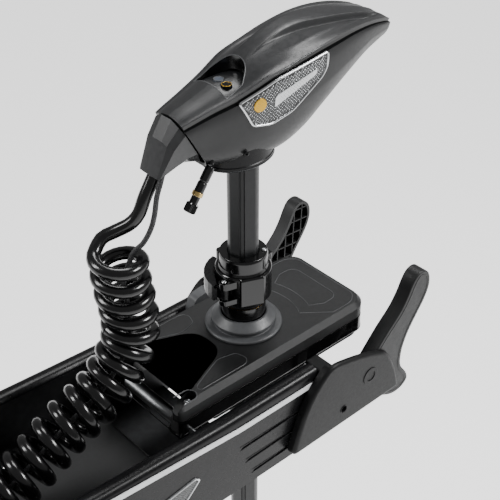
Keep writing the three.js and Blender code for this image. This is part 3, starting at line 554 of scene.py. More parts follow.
def coil_turns(steps_per_turn=22):
    """The cord's own line in the coil, wound round the coil's centreline."""
    count = int(TURNS * steps_per_turn)
    middle = evenly(curve_through(COIL_LINE), count)
    turns = []
    for k, centre in enumerate(middle):
        along = (middle[min(k + 1, count)] - middle[max(k - 1, 0)]).normalized()
        across = Vector((-along.z, 0, along.x))
        angle = FIRST_ANGLE + 2 * math.pi * TURNS * k / count
        out = across * math.cos(angle) + Vector((0, 1, 0)) * math.sin(angle)
        turns.append(centre + out * TURN_R * MM)
    return middle, turns


def smoothed(share):
    share = min(1.0, max(0.0, share))
    return share * share * (3 - 2 * share)


# The cord crosses three joints one after the other, so it is three pieces end to end.
# Each spans one joint; the table gives name, moving body, body before it, and where it ends on the cord.
STRETCHES = [("upper", "column", "drive_sleeve", 0.29), ("middle", "drive_sleeve", "housing", 0.54),
             ("lower", "housing", "base", 1.0)]


def free_cord(name, line, shares, radius, look, replaced):
    """Makes a cord as three pieces end to end, hiding the nodes each one replaces."""
    start = 0
    for part, after, before, end_share in STRETCHES:
        end = max(i for i, share in enumerate(shares) if share <= end_share + 1e-9)
        points = line[start:end + 1]
        piece = tube(f"{name}_{part}", points, radius * MM, 14)
        piece.data.materials.append(MATERIALS[look])
        piece.data.shade_smooth()
        piece.data.set_sharp_from_angle(angle=math.radians(50))
        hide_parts(*replaced[part])
        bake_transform(piece)
        first, last = shares[start], shares[end]
        margin = 0.06 * (last - first)
        weights = []
        for share in shares[start:end + 1]:
            done = (last - margin - share) / (last - first - 2 * margin)
            weights += [smoothed(done)] * 14
        distances(points)[-1]
        start = end


def make_cords():
    middle, turns = coil_turns()
    upper = curve_through([rel(*p) for p in UPPER_LEAD] + turns[:2])[:-11]
    lower = curve_through(turns[-2:] + [rel(*p) for p in LOWER_LEAD])[11:]
    line = evenly(upper + turns + lower, 420)
    along = distances(line)
    shares = [d / along[-1] for d in along]
    free_cord("coil_cord_run", line, shares, CORD_R, "rubber", {
        "upper": ["coil_cord_upper_lead", "coil_cord"], "middle": [],
        "lower": ["coil_cord_lower_lead"],
    })

    # the braided lead runs down the middle of the coil and takes the coil's own shares
    lead_share = distances(upper)[-1] / along[-1]
    coil_share = distances(turns)[-1] / along[-1]
    braid_top = curve_through([rel(*p) for p in BRAID_TOP] + [middle[40]])
    inside = middle[40:]
    tail = curve_through([middle[-1]] + [rel(*p) for p in GLAND_END])
    braid = braid_top[:-1] + inside + tail[1:]
    n_top, n_in, n_tail = len(braid_top) - 1, len(inside), len(tail) - 1
    entry = lead_share + coil_share * 40 / len(middle)
    coil_end = lead_share + coil_share
    braid_shares = (
        [entry * k / n_top for k in range(n_top)]
        + [entry + (coil_end - entry) * k / (n_in - 1) for k in range(n_in)]
        + [coil_end + (1 - coil_end) * (k + 1) / n_tail for k in range(n_tail)]
    )
    free_cord("braided_lead_run", braid, braid_shares, BRAID_R, "braid", {
        "upper": ["braided_lead"], "middle": [], "lower": [],
    })




# ---------------------------------------------------------------- base
RAIL_INBOARD, RAIL_END = -230, 226.7
PANEL_OUT = 102.5


def rail_lift(x):
    """How far the rails have risen at x, towards the inboard end."""
    return 14 * max(0, (90 - x) / 300) ** 1.1


def side_panel(side):
    """A deep flank under a round rail, with three long vents."""
    section = [(97, 3), (PANEL_OUT - 1, 3), (PANEL_OUT, 4), (PANEL_OUT, 60), (PANEL_OUT, 100.5)]
    rings = []
    steps = 60
    for k in range(steps + 1):
        x = RAIL_INBOARD + (RAIL_END - RAIL_INBOARD) * k / steps
        lift = rail_lift(x)
        rail = curve_through([
            (PANEL_OUT, 101.5, 0), (101.6, 107, 0), (98, 110.8, 0), (92.5, 112, 0), (87, 110.8, 0),
            (83.4, 107.5, 0), (82.6, 105.4, 0)], 5)
        flank = [(y, z if z < 61 else z + 1.35 * lift) for y, z in section]
        upper = [(p.x, p.y + lift * (1.12 if i == 0 else 1)) for i, p in enumerate(rail)]
        inner = [(92.7, 105.2 + lift), (97, 101 + lift)]
        rings.append([(x, side * y, z) for y, z in flank + upper + inner])
    panel = rings_solid(f"side_panel_{side}", rings, row)
    for k, (start, level) in enumerate([(110, 64), (118, 41), (127, 19)]):
        slot_outline = rounded([(start, level - 1.6), (200, level + 0.2), (200, level + 3.4),
                                (start + 4, level + 1.6)], 1.2, 3)
        cut(panel, prism("vent", slot_outline, side * 99.5, side * 104, "XZ", row))
    for k, (start, level) in enumerate([(110, 64), (118, 41), (127, 19)]):
        for low in (level - 1.7, level + 3.4):
            lip = tube("lip", [row(start, side * PANEL_OUT, low),
                               row(200, side * PANEL_OUT, low + 1.8 * (low < level))],
                       0.45 * MM, 8)
            joined(panel, lip)
    name = "port" if side > 0 else "starboard"
    panel.name = f"side_panel_{name}_fine"
    return dressed(panel, "satin_black", "base", f"side_panel_{name}", 40)


def stripe(side):
    name = "port" if side > 0 else "starboard"
    rings = []
    for k in range(41):
        x = -226 + (219 + 226) * k / 40
        low = 91 + 24 * max(0, (110 - x) / 340)
        rings.append([(x, side * y, low + z) for y, z in rounded(
            [(102.8, 0), (104.1, 0), (104.1, 7.2), (102.8, 7.2)], 0.5, 2)])
    return dressed(rings_solid(f"stripe_{name}_fine", rings, row), "light_stripe", "base",
                   f"stripe_{name}")


def flank_badge(side):
    """A blank mesh badge with a bright rim, low on each flank near the inboard end."""
    name = "port" if side > 0 else "starboard"
    corners = [(-215, 38), (-60, 50), (48, 66), (54, 60), (34, 40), (-60, 22), (-215, 14)]
    outer = rounded(corners, 5, 4)
    rings = []
    for distance, level in [(0, PANEL_OUT), (0.5, 104.2), (1.5, 104.6), (2.4, 104.2), (2.9, 103)]:
        rings.append([(p.x, side * level, p.y) for p in inset(outer, distance)])
    size = len(outer)
    points = [row(*p) for ring in rings for p in ring]
    faces = [[r * size + k, r * size + (k + 1) % size, (r + 1) * size + (k + 1) % size,
              (r + 1) * size + k] for r in range(len(rings) - 1) for k in range(size)]
    rim = dressed(made(f"flank_badge_rim_{name}", points, faces), "chrome", "base")
    plate = pillow(f"flank_badge_plate_{name}", inset(outer, 2.8), side * 102.4, side * 103.2, 0.3)
    dressed(plate, "gloss_black", "base")
    studs(f"flank_badge_studs_{name}", "base", inset(outer, 3.6),
          lambda x, z: row(x, side * 103.2, z), 3.4, 0.7, side)
    return rim


def within(point, outline):
    """Whether a point lies inside a closed outline."""
    inside = False
    for a, b in zip(outline, outline[1:] + outline[:1]):
        if (a.y > point.y) != (b.y > point.y):
            if point.x < a.x + (b.x - a.x) * (point.y - a.y) / (b.y - a.y):
                inside = not inside
    return inside


def studs(name, body, outline, surface, pitch, height, side):
    """Small diamond studs, in staggered rows, over a badge plate."""
    xs, zs = [p.x for p in outline], [p.y for p in outline]
    points, faces = [], []
    rows = int((max(zs) - min(zs)) / (pitch / 2)) + 1
    for j in range(rows):
        z = min(zs) + j * pitch / 2
        for i in range(int((max(xs) - min(xs)) / pitch) + 1):
            x = min(xs) + (i + 0.5 * (j % 2)) * pitch
            if not within(Vector((x, z)), outline):
                continue
            reach = 0.42 * pitch
            corners = [surface(x + dx * reach, z + dz * reach * 0.8)
                       for dx, dz in ((1, 0), (0, 1), (-1, 0), (0, -1))]
            peak = surface(x, z) + Vector((0, side * height * MM, 0))
            first = len(points)
            points += corners + [peak]
            faces += [[first + a, first + (a + 1) % 4, first + 4] for a in range(4)]
            faces.append([first, first + 3, first + 2, first + 1])
    dressed(made(name, points, faces), "stud_grey", body, smooth=10)


PLATE_OUTLINE = [
    (178, 15), (186, 42), (196, 68), (208, 89), (221, 104), (233, 114), (244, 116), (274, 109),
    (300, 101), (329, 88), (340, 70), (350, 46), (357, 18),
]
HOLE_X, HOLE_Z = 259, 40


def bow_bracket(side):
    name = "port" if side > 0 else "starboard"
    outline = rounded(PLATE_OUTLINE, 9, 5)
    plate = pillow(f"bow_bracket_{name}_fine", outline, side * 104.5, side * 115.5, 4.5)
    near = prism("near", [(235, 0), (420, 0), (420, 140), (235, 140)], side * 100, side * 110.2,
                 "XZ", row)
    cut(plate, near)
    cut(plate, prism("hole", [(HOLE_X + 4.5 * math.cos(a), HOLE_Z + 4.5 * math.sin(a)) for a in
                              (2 * math.pi * k / 24 for k in range(24))],
                     side * 90, side * 125, "XZ", row))
    lip = tube("lip", [row(HOLE_X + 5 * math.cos(a), side * 115.4, HOLE_Z + 5 * math.sin(a)) for a in
                       (2 * math.pi * k / 32 for k in range(32))], 0.7 * MM, 8, closed=True)
    joined(plate, lip)
    boss = turned("boss", filleted([(7, 0), (11.5, 0), (11.5, 0.9), (7, 0.9), (7, 0)], 0.4),
                  sideways(302, side * 115.4, 66, (0, side, 0)), 48)
    joined(plate, boss)
    x_web = (227.3, 246)
    bridge = prism("bridge", [(x_web[0], side * 80), (x_web[1], side * 80), (x_web[1], side * 111),
                              (x_web[0], side * 111)], 18, 110, "XY", row)
    tongue = prism("tongue", [(150, side * 90.3), (230, side * 90.3), (230, side * 96.7),
                              (150, side * 96.7)], 12, 84, "XY", row)
    joined(plate, bevelled(bridge, 2.5, 4), tongue)
    return dressed(plate, "dark_grey", "base", f"bow_bracket_{name}", 35)


REST_OUTLINE = [
    (247, 14), (247, 62), (292, 64), (320, 96), (336, 113), (353, 128), (365, 146), (371, 160),
    (378, 170), (388, 173), (398, 168), (403, 157), (403, 143), (396, 127), (384, 110), (371, 90),
    (363, 69), (362, 44), (377, 24), (380, 12), (367, 3), (350, 3), (330, 14),
]


def motor_rest(side):
    """An ear with a broad ramp; its inner face is hollow and crossed by ribs."""
    name = "port" if side > 0 else "starboard"
    outline = rounded(REST_OUTLINE, 10, 5)
    ear = pillow(f"motor_rest_{name}_fine", outline, side * 92, side * 110, 1.6, steps=3)
    hollow = inset(rounded([p for p in REST_OUTLINE if p[1] >= 62], 8, 4), 4)
    cut(ear, prism("hollow", hollow, side * 90, side * 104, "XZ", row))
    low, high = Vector((300, 60)), Vector((396, 170))
    along = (high - low).normalized()
    for k in range(7):
        for lean in (math.radians(38), math.radians(-52)):
            centre = low.lerp(high, (k + 0.5) / 7)
            turn = Matrix.Rotation(lean, 2)
            run, across = turn @ along * 60, (turn @ along).orthogonal() * 0.65
            corners = [centre - run - across, centre + run - across, centre + run + across,
                       centre - run + across]
            rib = prism("rib", corners, side * 92.6, side * 104.5, "XZ", row)
            trimmer = prism("trimmer", inset(hollow, -0.6), side * 91, side * 106, "XZ", row)
            joined(ear, cut(rib, trimmer, "INTERSECT"))
    cut(ear, prism("hole", [(HOLE_X + 4.5 * math.cos(a), HOLE_Z + 4.5 * math.sin(a)) for a in
                            (2 * math.pi * k / 24 for k in range(24))],
                   side * 80, side * 125, "XZ", row))
    groove = tube("rim", [row(p.x, side * 110, p.y) for p in inset(outline, 5)], 0.5 * MM, 8,
                  closed=True)
    joined(ear, groove)
    screw(f"rest_screw_{name}", sideways(352, side * 101.5, 86, (0, -side, 0)), 4.2, "base", "brass")
    return dressed(ear, "textured_black", "base", f"motor_rest_{name}", 35)


def make_base():
    refined("base_channel", "alloy", 1.2)
    refined("deck_pad", "textured_black", 2.5, segments=4)
    refined("inboard_end_cap", "satin_black", 2)
    refined("cord_gland", "rubber", 0.8)
    # the pivot rod's steel is painted darker, as shade in the housing's notch
    refined("pivot_rod", "worn_steel", 0.6)
    refined("pedal_pin", "steel", 0.5)
    for side in (-1, 1):
        side_panel(side)
        stripe(side)
        flank_badge(side)
        bow_bracket(side)
        motor_rest(side)
    for k, (x, y) in enumerate([(-180, 60), (-180, -60), (-90, 60), (-90, -60)]):
        screw(f"pad_screw_{k}", upright(x, y, 48, row), 4.5, "base")
    refined("release_pedal", "ring_grey", 2.2, segments=5)


# ---------------------------------------------------------------- steering housing
NOTCH = [(-124, 45), (-100, 35), (-66, 21), (-58, 12)]
EDGE = 6.5  # the broad chamfer round the cover's top


def housing_plan(drawn_in=0.0):
    half, tip = 66 - drawn_in, -148 + drawn_in
    port = [(tip, 50), (tip, half), (126, half), (140 - drawn_in, 52)]
    starboard = [(x, -y) for x, y in reversed(port)]
    return port + starboard + [(x, -y) for x, y in NOTCH] + list(reversed(NOTCH))


def ridge_line(name, points, radius=0.45, closed=False):
    """A fine raised line on the housing's cover, pale grey: a painted highlight along an edge of the cover."""
    line = [rel(x, y, -0.1) for x, y in points]
    return dressed(tube(name, line, radius * MM, 8, closed), "ring_grey", "housing")


def arc(radius, start, end, steps=14, middle=(0, 0)):
    return [(middle[0] + radius * math.cos(math.radians(start + (end - start) * k / steps)),
             middle[1] + radius * math.sin(math.radians(start + (end - start) * k / steps)))
            for k in range(steps + 1)]


def cover_lines():
    outer = arc(66, -29, 29) + [(88, 57), (118, 57), (131, 47), (131, -47), (118, -57), (88, -57)]
    inner = arc(81, -21, 21) + [(92, 38), (108, 38), (115, 31), (115, -31), (108, -38), (92, -38)]
    for name, outline in (("outer", outer), ("inner", inner)):
        drawn = rounded(outline[15:], 7, 4, closed=False)
        ridge_line(f"cover_line_{name}", [(p.x, p.y) for p in drawn] + outline[:15], closed=True)
    for side, name in ((1, "port"), (-1, "starboard")):
        arm = [(-112, side * 57), (-46, side * 57), (-40, side * 50), (-44, side * 36),
               (-66, side * 31), (-96, side * 43), (-112, side * 50)]
        if side < 0:
            arm.reverse()
        drawn = rounded(arm, 5, 4)
        ridge_line(f"arm_line_{name}", [(p.x, p.y) for p in drawn], closed=True)
        recess_rim = arc(8.5, -90, 90, 12, (-126, side * 55))
        ridge_line(f"arm_rim_{name}", [(-140, side * 55 - 8.5)] + recess_rim
                   + [(-140, side * 55 + 8.5)], 0.7)


def housing_cover():
    plan = rounded(housing_plan(), 9, 6)
    rings = [[(p.x, p.y, -19.6) for p in plan], [(p.x, p.y, -EDGE) for p in plan]]
    for k in range(1, 5):
        rings.append([(p.x, p.y, -EDGE + 1.58 * k) for p in inset(plan, 1.35 * k)])
    rings.append([(p.x, p.y, 0) for p in inset(plan, EDGE)])
    cover = rings_solid("housing_cover_fine", rings, rel)
    cut(cover, turned("bore", [(28, -40), (28, 20)], upright(0, 0), 64))
    for side in (-1, 1):
        cut(cover, prism("recess", rounded(
            [(-160, side * 55 - 7.5), (-118, side * 55 - 7.5), (-118, side * 55 + 7.5),
             (-160, side * 55 + 7.5)], 7, 5), -11, 8))
        screw(f"cover_screw_{side + 1}", upright(-127, side * 55, -11), 5.6, "housing")
    dressed(cover, "textured_black", "housing", "housing_cover", 28)
    cover_lines()


def make_housing():
    housing_cover()
    refined("housing_body", "gloss_black", 1.6, segments=4)
    seam = [(p.x, p.y) for p in inset(rounded([
        (-148, 66), (126, 66), (140, 52), (140, -52), (126, -66), (-148, -66)], 8, 5), -0.15)]
    line = tube("housing_lower_line", [rel(x, y, -38.6) for x, y in seam], 0.7 * MM, 8, True)
    dressed(line, "satin_black", "housing")
    ring = turned("shaft_ring_fine", filleted([
        (25.6, 0.3), (44, 0.3), (44, 2.8), (42.6, 4), (34.5, 4), (34.5, 8), (36.8, 8.6),
        (36.8, 11), (28, 18.6), (25.6, 18.6), (25.6, 0.3)], 0.9), upright(0, 0), 96)
    dressed(ring, "ring_grey", "housing", "shaft_ring")
    collar = turned("sleeve_collar", filleted([
        (24.75, 14), (25.05, 14), (25.05, 30), (24.9, 33.95), (24.75, 33.95), (24.75, 14)], 0.05),
        upright(0, 0), 96)
    dressed(collar, "gloss_black", "drive_sleeve")


# ---------------------------------------------------------------- shaft and depth collar
def shaft_outline():
    """The shaft's section: round, with two flats and a rib between them on each side."""
    points = []
    for k in range(144):
        angle = 2 * math.pi * k / 144
        turn = (angle - math.radians(45)) % math.pi - math.radians(0)
        from_rib = min(turn, math.pi - turn)
        radius = 17.0
        if math.radians(6) < from_rib < math.radians(56):
            radius = min(17.0, 15.9 / math.cos(from_rib - math.radians(31)))
        if math.radians(6) < from_rib < math.radians(10):
            radius -= 0.7
        points.append((radius * math.cos(angle), radius * math.sin(angle)))
    return points


def make_shaft():
    outline = shaft_outline()
    low = (shaft_low.z - TOP) / MM
    high = (shaft_high.z - TOP) / MM
    rings = [[(x, y, z) for x, y in outline] for z in (low, high)]
    shaft = rings_solid("shaft_tube_fine", rings, rel)
    dressed(shaft, "composite", "column", "shaft_tube", 14)


def collar_outline(radius):
    """The clamp band: round, with a corner towards the inboard side and two flats after it."""
    points = []
    for k in range(96):
        degrees = 360 * k / 96
        reach = radius
        if 222 <= degrees <= 272:
            reach = min(radius * 1.09, radius * 0.985 / math.cos(math.radians(degrees - 247)))
        points.append((reach * math.cos(math.radians(degrees)),
                       reach * math.sin(math.radians(degrees))))
    return points


def make_depth_collar():
    """Heights count from the housing's top, as everywhere on the column."""
    low, high = (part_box("depth_collar")[i].z / MM - TOP / MM for i in (0, 1))
    body = turned("depth_collar_fine", filleted([
        (17.4, low), (24, low), (27, low + 4), (28.5, low + 10), (28.5, low + 46),
        (27.2, low + 50), (27.2, high - 3), (26.2, high), (17.4, high), (17.4, low)], 0.8),
        upright(0, 0), 96)
    band = [[(x, y, z) for x, y in collar_outline(r)] for r, z in (
        (29.5, low + 9), (31.3, low + 10.4), (31.6, low + 12), (31.6, low + 44), (31.2, low + 45.4),
        (30, low + 46.5), (17.4, low + 46.5), (17.4, low + 9))]
    joined(body, rings_solid("band", band, rel))
    for x, y, base, top, r in ((-36, -9, 48.5, 55, 5.6), (-36, -9, 69.3, 78, 5.6),
                               (-18, 17, high - 12, high - 0.4, 5)):
        boss = turned("boss", filleted([(0, base), (r, base), (r, top), (0, top)], 0.8),
                      upright(x, y), 32)
        joined(body, boss)
    for low_z, top_z in ((48.5, 55), (69.3, 78)):
        ear = prism("ear", rounded([(-40, -14), (-20, -20), (-20, 0), (-40, -4)], 3, 3), low_z, top_z)
        joined(body, bevelled(ear, 0.8))
    clamp = prism("clamp", rounded([(20, -9), (36, -9), (36, 9), (20, 9)], 3, 4), 50, 84)
    joined(body, bevelled(clamp, 1.0))
    for x, y, z in ((-36, -9, 77.6), (16, -16, high - 0.3)):
        screw(f"collar_screw_{int(x)}", upright(x, y, z), 2.9, "collar")
    dressed(body, "gloss_black", "collar", "depth_collar")
    refined("collar_lever", "satin_black", 1.4, segments=4)

# ---------------------------------------------------------------- control head
# stations along the head: x, top, belt height, belt half width, crease height, bottom,
# bottom half width
HEAD_STATIONS = [
    (-106, 293, 288, 17, 268, 248, 9), (-92, 299, 292, 21, 266, 242, 12),
    (-60, 308, 300, 26, 262, 236, 17), (-30, 318, 307, 32, 262, 231, 21),
    (0, 333, 317, 37, 266, 228, 24), (30, 345, 323, 39, 272, 228, 24),
    (60, 351, 329, 40, 282, 236, 22), (90, 350, 333, 40, 293, 252, 19),
    (120, 346, 335, 38, 304, 270, 16), (150, 339, 333, 34, 313, 286, 13),
    (176, 330, 327, 29, 314, 297, 11), (190, 323, 321, 25, 313, 301, 9),
]
BELT = 3.2  # half height of the trim band
SKIN = 3.0
NOSE_CUT = [(320, -97), (289, -93), (242, -66), (220, -60)]  # height, x


def head_at(x):
    """The head's measures at x, smoothly between the stations."""
    i = max(j for j, s in enumerate(HEAD_STATIONS) if s[0] <= x or j == 0)
    i = min(i, len(HEAD_STATIONS) - 2)
    p = [HEAD_STATIONS[min(max(j, 0), len(HEAD_STATIONS) - 1)] for j in range(i - 1, i + 3)]
    span = p[2][0] - p[1][0]
    t = (x - p[1][0]) / span
    values = []
    for k in range(1, 7):
        before = (p[2][k] - p[0][k]) / max(1, p[2][0] - p[0][0]) * span
        after = (p[3][k] - p[1][k]) / max(1, p[3][0] - p[1][0]) * span
        if i == 0:
            before = p[2][k] - p[1][k]
        values.append(p[1][k] * (2 * t ** 3 - 3 * t ** 2 + 1) + before * (t ** 3 - 2 * t ** 2 + t)
                      + p[2][k] * (3 * t ** 2 - 2 * t ** 3) + after * (t ** 3 - t ** 2))
    return values


def band_edges(top, belt, crease):
    """The heights of the trim band's two edges, closer where the head is thin."""
    return belt + min(BELT, 0.2 * (top - belt)), belt - min(BELT, 0.3 * (belt - crease))


def nose_x(z):
    """Where the shells' front edge lies at a height."""
    for (high, x_high), (low, x_low) in zip(NOSE_CUT, NOSE_CUT[1:]):
        if z >= low:
            return x_high + (x_low - x_high) * (high - z) / (high - low)
    return NOSE_CUT[-1][1]


def crown(x, steps):
    """Half of the top's section at x, from the middle to just over the trim band."""
    top, belt, wide, crease = head_at(x)[:4]
    rise = top - belt
    line = curve_through([(0, top, 0), (0.3 * wide, top - 1, 0),
                          (0.6 * wide, belt + 0.62 * rise, 0),
                          (0.85 * wide, belt + 0.25 * rise, 0),
                          (wide, band_edges(top, belt, crease)[0], 0)], 12)
    # the middle stands up as a hood towards the tail
    hood = 6.5 * smoothed((x + 6) / 70) * smoothed((188 - x) / 40)
    edge = min(9 + 7 * smoothed((x - 10) / 110), 0.6 * wide)
    side = min(2.4, 0.1 * wide)  # the width of the hood's own side
    over, across = steps // 3, 5
    rest = steps - over - across
    ys = ([edge * k / over for k in range(over)]
          + [edge + side * k / across for k in range(across)]
          + [edge + side + (wide - edge - side) * k / rest for k in range(rest + 1)])
    points, i = [], 0
    for y in ys:
        while i < len(line) - 2 and line[i + 1].x < y:
            i += 1
        a, b = line[i], line[i + 1]
        z = a.y + (b.y - a.y) * min(1.0, max(0.0, (y - a.x) / max(1e-6, b.x - a.x)))
        points.append((y, z - hood * smoothed((y - edge) / side) * smoothed((wide - 3 - y) / 14)))
    return points


def flank(x, steps):
    """Half of the lower shell's section at x, from just under the trim band to the middle."""
    top, belt, wide, crease, bottom, low = head_at(x)
    knuckle = (0.5 * (wide + low) + 3, 0.42 * crease + 0.58 * bottom)
    side = curve_through([(wide, band_edges(top, belt, crease)[1], 0), (wide + 1.5, 0.6 * belt + 0.4 * crease, 0),
                          (wide, crease, 0)], 8)
    under = curve_through([(wide, crease, 0), (*knuckle, 0), (low, bottom + 1, 0),
                           (0, bottom, 0)], 8)
    half = steps // 2
    return [(p.x, p.y) for p in evenly(side, half) + evenly(under, steps - half)[1:]]


TAIL_END, TAIL_ROUND = 190.0, 11.0


def drawn_round(x, points):
    """Draws a section in towards its middle as the tail closes."""
    t = max(0.0, (x - TAIL_END + TAIL_ROUND) / TAIL_ROUND)
    shrink = max(0.0, 1 - min(1.0, t) ** 3) ** (1 / 3)
    top, bottom = head_at(x)[0], head_at(x)[4]
    middle = (top + bottom) / 2
    return [(y * shrink, middle + (z - middle) * shrink) for y, z in points]


def head_patch(name, half_section, steps, thickness=SKIN, rows=70):
    """A skin on both sides of the middle, trimmed at the nose and closed all round."""
    columns = []
    for k in range(rows + 1):
        line = []
        for j in range(2 * steps + 1):
            share = k / rows
            # each line of the skin starts at the nose cut at its own height
            first = -97.0
            for _ in range(4):
                at = half_section(first, steps)
                y, z = at[abs(j - steps)]
                first = nose_x(z)
            x = first + (TAIL_END - 0.02 - first) * (1 - (1 - share) ** 1.9)
            y, z = drawn_round(x, half_section(x, steps))[abs(j - steps)]
            line.append(rel(x, y if j >= steps else -y, z))
        columns.append(line)
    return skin(name, columns, thickness)


def sheet(name, wide, deep, place, thickness, offset):
    """A grid of points placed by two shares of its sides, given a thickness in millimetres."""
    columns = [[place(i / wide, j / deep) for j in range(deep + 1)] for i in range(wide + 1)]
    return skin(name, columns, thickness, offset)


def skin(name, columns, thickness, offset=-1):
    """A sheet of points, given a thickness inward by its own normals."""
    wide = len(columns[0])
    points = [p for line in columns for p in line]
    faces = [[r * wide + k, r * wide + k + 1, (r + 1) * wide + k + 1, (r + 1) * wide + k]
             for r in range(len(columns) - 1) for k in range(wide - 1)]
    mesh = bpy.data.meshes.new(name)
    mesh.from_pydata([tuple(p) for p in points], [], faces)
    obj = bpy.data.objects.new(name, mesh)
    bpy.context.scene.collection.objects.link(obj)
    mesh.update()
    centre = rel(30, 0, 290)
    if sum((f.center - centre).dot(f.normal) for f in mesh.polygons) < 0:
        mesh.flip_normals()
    modifier = obj.modifiers.new("wall", "SOLIDIFY")
    modifier.thickness = thickness * MM
    modifier.offset = offset
    return apply(obj)


WINDOW_BUTTONS = [(-28, 3.5), (-30, -10.3)]
WINDOW = [(-42, -25), (-22, -24.5), (-8, -15), (-4, 0), (-8, 15), (-22, 24.5), (-42, 25)]


def crown_height(x, y):
    """The top's height over a point."""
    points = crown(x, 40)
    for (y0, z0), (y1, z1) in zip(points, points[1:]):
        if y0 <= abs(y) <= y1:
            return z0 + (z1 - z0) * (abs(y) - y0) / max(1e-6, y1 - y0)
    return points[-1][1]


def over_crown(points, lift):
    return [rel(x, y, crown_height(x, y) + lift) for x, y in points]


def status_window(cover):
    """A well in the cover with a pale lip, a painted highlight along the well's edge, a dark floor and two round
    buttons.
    """
    outline = rounded(WINDOW[1:-1], 11, 8, closed=False)
    outline = [Vector(WINDOW[0])] + outline + [Vector(WINDOW[-1])]
    cut(cover, prism("window_cut", outline, 300, 400))
    lip_line = [(p.x, p.y) for p in outline]
    dense = []
    for (x0, y0), (x1, y1) in zip(lip_line, lip_line[1:] + lip_line[:1]):
        parts = max(1, int(math.hypot(x1 - x0, y1 - y0) / 2.5))
        dense += [(x0 + (x1 - x0) * k / parts, y0 + (y1 - y0) * k / parts) for k in range(parts)]
    # the lip is pale grey: a painted highlight along the well's edge
    lip = tube("window_lip", over_crown(dense, -0.1), 0.55 * MM, 8, closed=True)
    dressed(lip, "ring_grey", "column")
    # the floor follows the cover's section at the inboard edge, so it lies deep outboard
    floor = sheet("window_floor", 22, 26, lambda u, v: rel(
        -44 + 42 * u, -28 + 56 * v,
        crown_height(-42, min(25, abs(-28 + 56 * v))) - 2 + 0.045 * 42 * u), 1.4, -1)
    cut(floor, prism("trim", inset(outline, -0.3), 290, 400), "INTERSECT")
    low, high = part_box("power_button")
    bore = (high.x - low.x) / 2 / MM + 0.4
    for x, y in WINDOW_BUTTONS:
        cut(floor, turned("bore", [(bore, 290), (bore, 330)], upright(x, y), 48))
    dressed(floor, "window_grey", "column", "status_window")
    rim = [(p.x, p.y) for p in outline]
    wall = sheet("window_wall", len(rim) - 1, 1, lambda u, v: rel(
        *rim[round(u * (len(rim) - 1))],
        crown_height(*rim[round(u * (len(rim) - 1))]) - 0.5 - 14 * (1 - v)), 0.8, 0)
    dressed(wall, "gloss_black", "column")
    for node, look, ring in (("power_button", "button_blue", "ring_grey"),
                             ("mode_button", "satin_black", "gold")):
        low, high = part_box(node)
        middle = (low + high) / 2
        radius = (high.x - low.x) / 2 / MM
        top = high.z / MM
        place = Matrix.Translation(Vector((middle.x, middle.y, 0))) @ Matrix.Scale(MM, 4)
        cap = turned(f"{node}_fine", filleted([
            (0, top - 5), (radius, top - 5), (radius, top - 0.4), (radius - 1.2, top),
            (0, top - 0.3)], 0.5), place, 48)
        dressed(cap, look, node, node)
        halo = turned(f"{node}_ring", filleted([
            (radius - 1.1, top - 0.7), (radius - 0.2, top - 0.7), (radius - 0.2, top + 0.25),
            (radius - 1.1, top + 0.25), (radius - 1.1, top - 0.7)], 0.2), place, 48)
        dressed(halo, ring, node)


BADGE = [(-35, 303), (-19, 273), (4, 269), (31, 275), (70, 301), (76, 310), (78, 328), (7, 317)]


def flank_out(x, z):
    """How far out the lower shell is at a height."""
    points = flank(x, 40)
    for (y0, z0), (y1, z1) in zip(points, points[1:]):
        if z1 <= z <= z0:
            return y0 + (y1 - y0) * (z0 - z) / max(1e-6, z0 - z1)
    belt, wide = head_at(x)[1:3]
    return wide


def on_flank(points, side, out):
    return [rel(p.x, side * (flank_out(p.x, p.y) + out), p.y) for p in points]


def badge(side):
    """A bright rim round a plate of fine studs, with a plain disc and bar on it."""
    name = "port" if side > 0 else "starboard"
    outline = rounded([(x, z - 1.5) for x, z in BADGE], 5, 6)
    dense = []
    for a, b in zip(outline, outline[1:] + outline[:1]):
        parts = max(1, int((b - a).length / 3))
        dense += [a.lerp(b, k / parts) for k in range(parts)]
    rings = [on_flank(inset(dense, d), side, out) for d, out in (
        (0, 0.1), (0.1, 1.3), (0.7, 2.1), (1.7, 2.2), (2.4, 1.6), (2.6, 0.4))]
    size = len(dense)
    faces = [[r * size + k, r * size + (k + 1) % size,
              ((r + 1) % len(rings)) * size + (k + 1) % size, ((r + 1) % len(rings)) * size + k]
             for r in range(len(rings)) for k in range(size)]
    rim = made(f"badge_rim_{name}_fine", [p for ring in rings for p in ring], faces)
    dressed(rim, "chrome", "column", f"badge_rim_{name}", 50)

    field = inset(dense, 2.5)
    xs, zs = [p.x for p in field], [p.y for p in field]
    x0, z0 = min(xs) - 1, min(zs) - 1
    long, tall = max(xs) + 1 - x0, max(zs) + 1 - z0
    plate = sheet(f"badge_plate_{name}_fine", 60, 26, lambda u, v: rel(
        x0 + long * u, side * (flank_out(x0 + long * u, z0 + tall * v) + 0.7), z0 + tall * v),
        0.8, 0)
    cut(plate, prism("trim", field, 0, side * 60, "XZ"), "INTERSECT")
    dressed(plate, "gloss_black", "column", f"badge_plate_{name}", 20)
    studs(f"badge_studs_{name}", "column", inset(dense, 3.6),
          lambda x, z: rel(x, side * (flank_out(x, z) + 1.15), z), 3.8, 1.0, side)

    disc = [Vector((-11 + 7.2 * math.cos(a), 294 + 7.2 * math.sin(a)))
            for a in (2 * math.pi * k / 40 for k in range(40))]
    raised(f"badge_disc_{name}", disc, side, "gold")
    hollow_bar = rounded([(6, 286.5), (60, 306), (61, 312.5), (7, 299)], 2.5, 4)
    raised(f"badge_bar_{name}", hollow_bar, side, "chrome")


